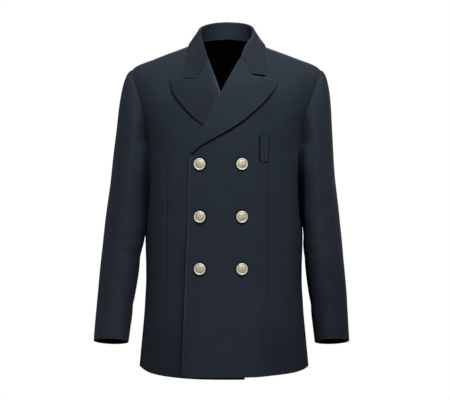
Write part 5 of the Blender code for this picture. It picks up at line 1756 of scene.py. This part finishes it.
# %% [markdown]
# ## Buttons
# The six buttons are stamped shells of plated brass: a pale rolled rim round a warmer
# domed centre, on a short shank. The centre carries a plain rosette. Each is one section
# turned round its middle, with the rosette raised in the rings of its dome. Plating
# gives a soft metal shine, and years of wear leave it cloudy.

# %% Nickel-plated brass and nickel silver
LACQUERED = 0.6  # a dull lacquer over the plating takes away part of its mirror
WEAR_SIZE, WEAR_DEPTH = 3.0 * MM, 0.02 * MM
WEAR_SMOOTHER, WEAR_ROUGHER = 0.06, 0.08


def plated(name, colour, wear_and_highlight, roughness):
    material, tree, shader = new_material(name, roughness, LACQUERED)
    place = add_node(tree, "ShaderNodeTexCoord")
    wear = add_node(tree, "ShaderNodeTexNoise", {
        "Vector": place.outputs["Object"], "Scale": 1 / WEAR_SIZE, "Detail": 4.0,
    })
    colour_mix = add_node(tree, "ShaderNodeMix", {
        0: wear.outputs[0], 6: srgb(colour), 7: srgb(wear_and_highlight),
    }, data_type="RGBA")
    rough = add_node(tree, "ShaderNodeMapRange", {
        "Value": wear.outputs[0], "To Min": roughness - WEAR_SMOOTHER,
        "To Max": roughness + WEAR_ROUGHER,
    })
    bump = add_node(tree, "ShaderNodeBump", {
        "Height": wear.outputs[0], "Distance": WEAR_DEPTH, "Strength": 1.0,
    })
    tree.links.new(colour_mix.outputs[2], shader.inputs["Base Color"])
    tree.links.new(rough.outputs[0], shader.inputs["Roughness"])
    tree.links.new(bump.outputs[0], shader.inputs["Normal"])
    return material


rim_metal = plated("nickel_plated_brass", "#eff0ea", "#dadacd", 0.5)
dome_metal = plated("stamped_nickel_silver", "#cdc6ac", "#a59d80", 0.55)
print("button metals:", rim_metal.name, dome_metal.name)

# %% Button section and rosette
# Button section from the middle of its back round to the middle of its face
BUTTON_SECTION = table("radius height", (
    (0, 0), (3, 0), (3, 1.6), (11.2, 1.6), (12.4, 1.8), (13.1, 2.5), (13.2, 3.2), (12.9, 3.9),
    (12.2, 4.5), (11.3, 4.5), (10.7, 3.9), (10.3, 3.3), (9.9, 3.35), (9.0, 3.9), (7.5, 4.5),
    (6.0, 4.9), (4.0, 5.25), (2.0, 5.45), (0.0, 5.5),
))
RIM_TO_DOME, BUTTON_LIFT = 10.5 * MM, 0.6 * MM
SIDES, SECTION_STEPS = 60, 90
ROSETTE_PETALS, ROSETTE_RISE = 8, 0.6 * MM
PETAL_START, PETAL_FADE_IN, PETAL_END, PETAL_FADE_OUT = 2.2 * MM, 1.5 * MM, 8.6 * MM, 2.0 * MM
# Rings pressed round the rosette: radius and width
PRESSED_RINGS, PRESSED_DEPTH = ((2.2 * MM, 0.5 * MM), (9.2 * MM, 0.45 * MM)), 0.15 * MM
FACE_FROM, FACE_RADIUS = 2.6 * MM, 10.2 * MM


def button_face(radius, height, angle):
    """The section's height with the rosette stamped into the dome."""
    petals = 0.5 + 0.5 * np.cos(ROSETTE_PETALS * angle)
    inside = ease((radius - PETAL_START) / PETAL_FADE_IN)
    inside = inside * ease((PETAL_END - radius) / PETAL_FADE_OUT)
    rings = sum(fading(radius - middle, width) for middle, width in PRESSED_RINGS)
    face = (height > FACE_FROM) & (radius < FACE_RADIUS)
    return height + face * (ROSETTE_RISE * (petals * inside - 0.5 * inside) - PRESSED_DEPTH * rings)


print("points in the section:", len(BUTTON_SECTION["radius"]))


# %% Buttons
def button_shape(name, frame_here):
    """A button: rings round its section, closed by a fan at its back and one at its face."""
    point, across, up, out = frame_here
    steps = np.hypot(np.diff(BUTTON_SECTION["radius"]), np.diff(BUTTON_SECTION["height"]))
    reach = np.concatenate([[0], np.cumsum(steps)])
    fine = np.unique(np.concatenate([reach, np.linspace(0, reach[-1], SECTION_STEPS)]))
    radius = np.interp(fine, reach, BUTTON_SECTION["radius"])[:, None]
    height = np.interp(fine, reach, BUTTON_SECTION["height"])[:, None]
    angle = np.linspace(0, 2 * math.pi, SIDES, endpoint=False)[None]
    height = button_face(radius, height, angle)
    shape = (point + (radius * np.cos(angle))[..., None] * across
             + (radius * np.sin(angle))[..., None] * up + (height + 0 * radius)[..., None] * out)
    rings = len(fine)
    body = shape[1:-1].reshape(-1, 3)
    number = np.arange((rings - 2) * SIDES).reshape(rings - 2, SIDES)
    number = np.concatenate([number, number[:, :1]], axis=1)
    quads = grid_faces(number).tolist()
    back, face = len(body), len(body) + 1
    first, last = number[0].tolist(), number[-1].tolist()
    fans = [[back, first[k + 1], first[k]] for k in range(SIDES)]
    fans += [[face, last[k], last[k + 1]] for k in range(SIDES)]
    points = np.concatenate([body, shape[:1, 0], shape[-1:, 0]])
    mesh = bpy.data.meshes.new(name)
    mesh.from_pydata(points.tolist(), [], quads + fans)
    mesh.materials.append(rim_metal)
    mesh.materials.append(dome_metal)
    ring_radius = radius[1:-1, 0]
    domed = (np.arange(rings - 3) > np.argmax(ring_radius)) & (ring_radius[:-1] <= RIM_TO_DOME)
    which = np.concatenate([np.repeat(domed, SIDES), np.zeros(SIDES, bool), np.ones(SIDES, bool)])
    mesh.polygons.foreach_set("material_index", which.astype(np.int32))
    mesh.update()
    mesh.shade_smooth()
    return placed(name, mesh)


places = [place_on_front(x, z, BUTTON_LIFT) for z in BUTTON_ROWS_Z for x in BUTTON_COLUMNS_X]
buttons = [button_shape(f"plated_button_{k}", place) for k, place in enumerate(places, 1)]
print("buttons:", len(buttons), "each", len(buttons[0].data.polygons), "faces")

# %% [markdown]
# ## What each piece stands for
# Every shell takes its solid's place and rides on the one body.

# %% Rides and replaced solids
stands_for = {
    "front_left": front_left, "front_right": front_right, "collar": collar, "badge_tab": tab,
    **lapels, **sleeves, **bodies,
}
for number, button in enumerate(buttons, 1):
    stands_for[f"button_{number}"] = button
for node_name, thing in stands_for.items():
    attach(thing, "root")
    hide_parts(node_name)
print("nodes replaced:", len(stands_for), "of", len(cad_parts))
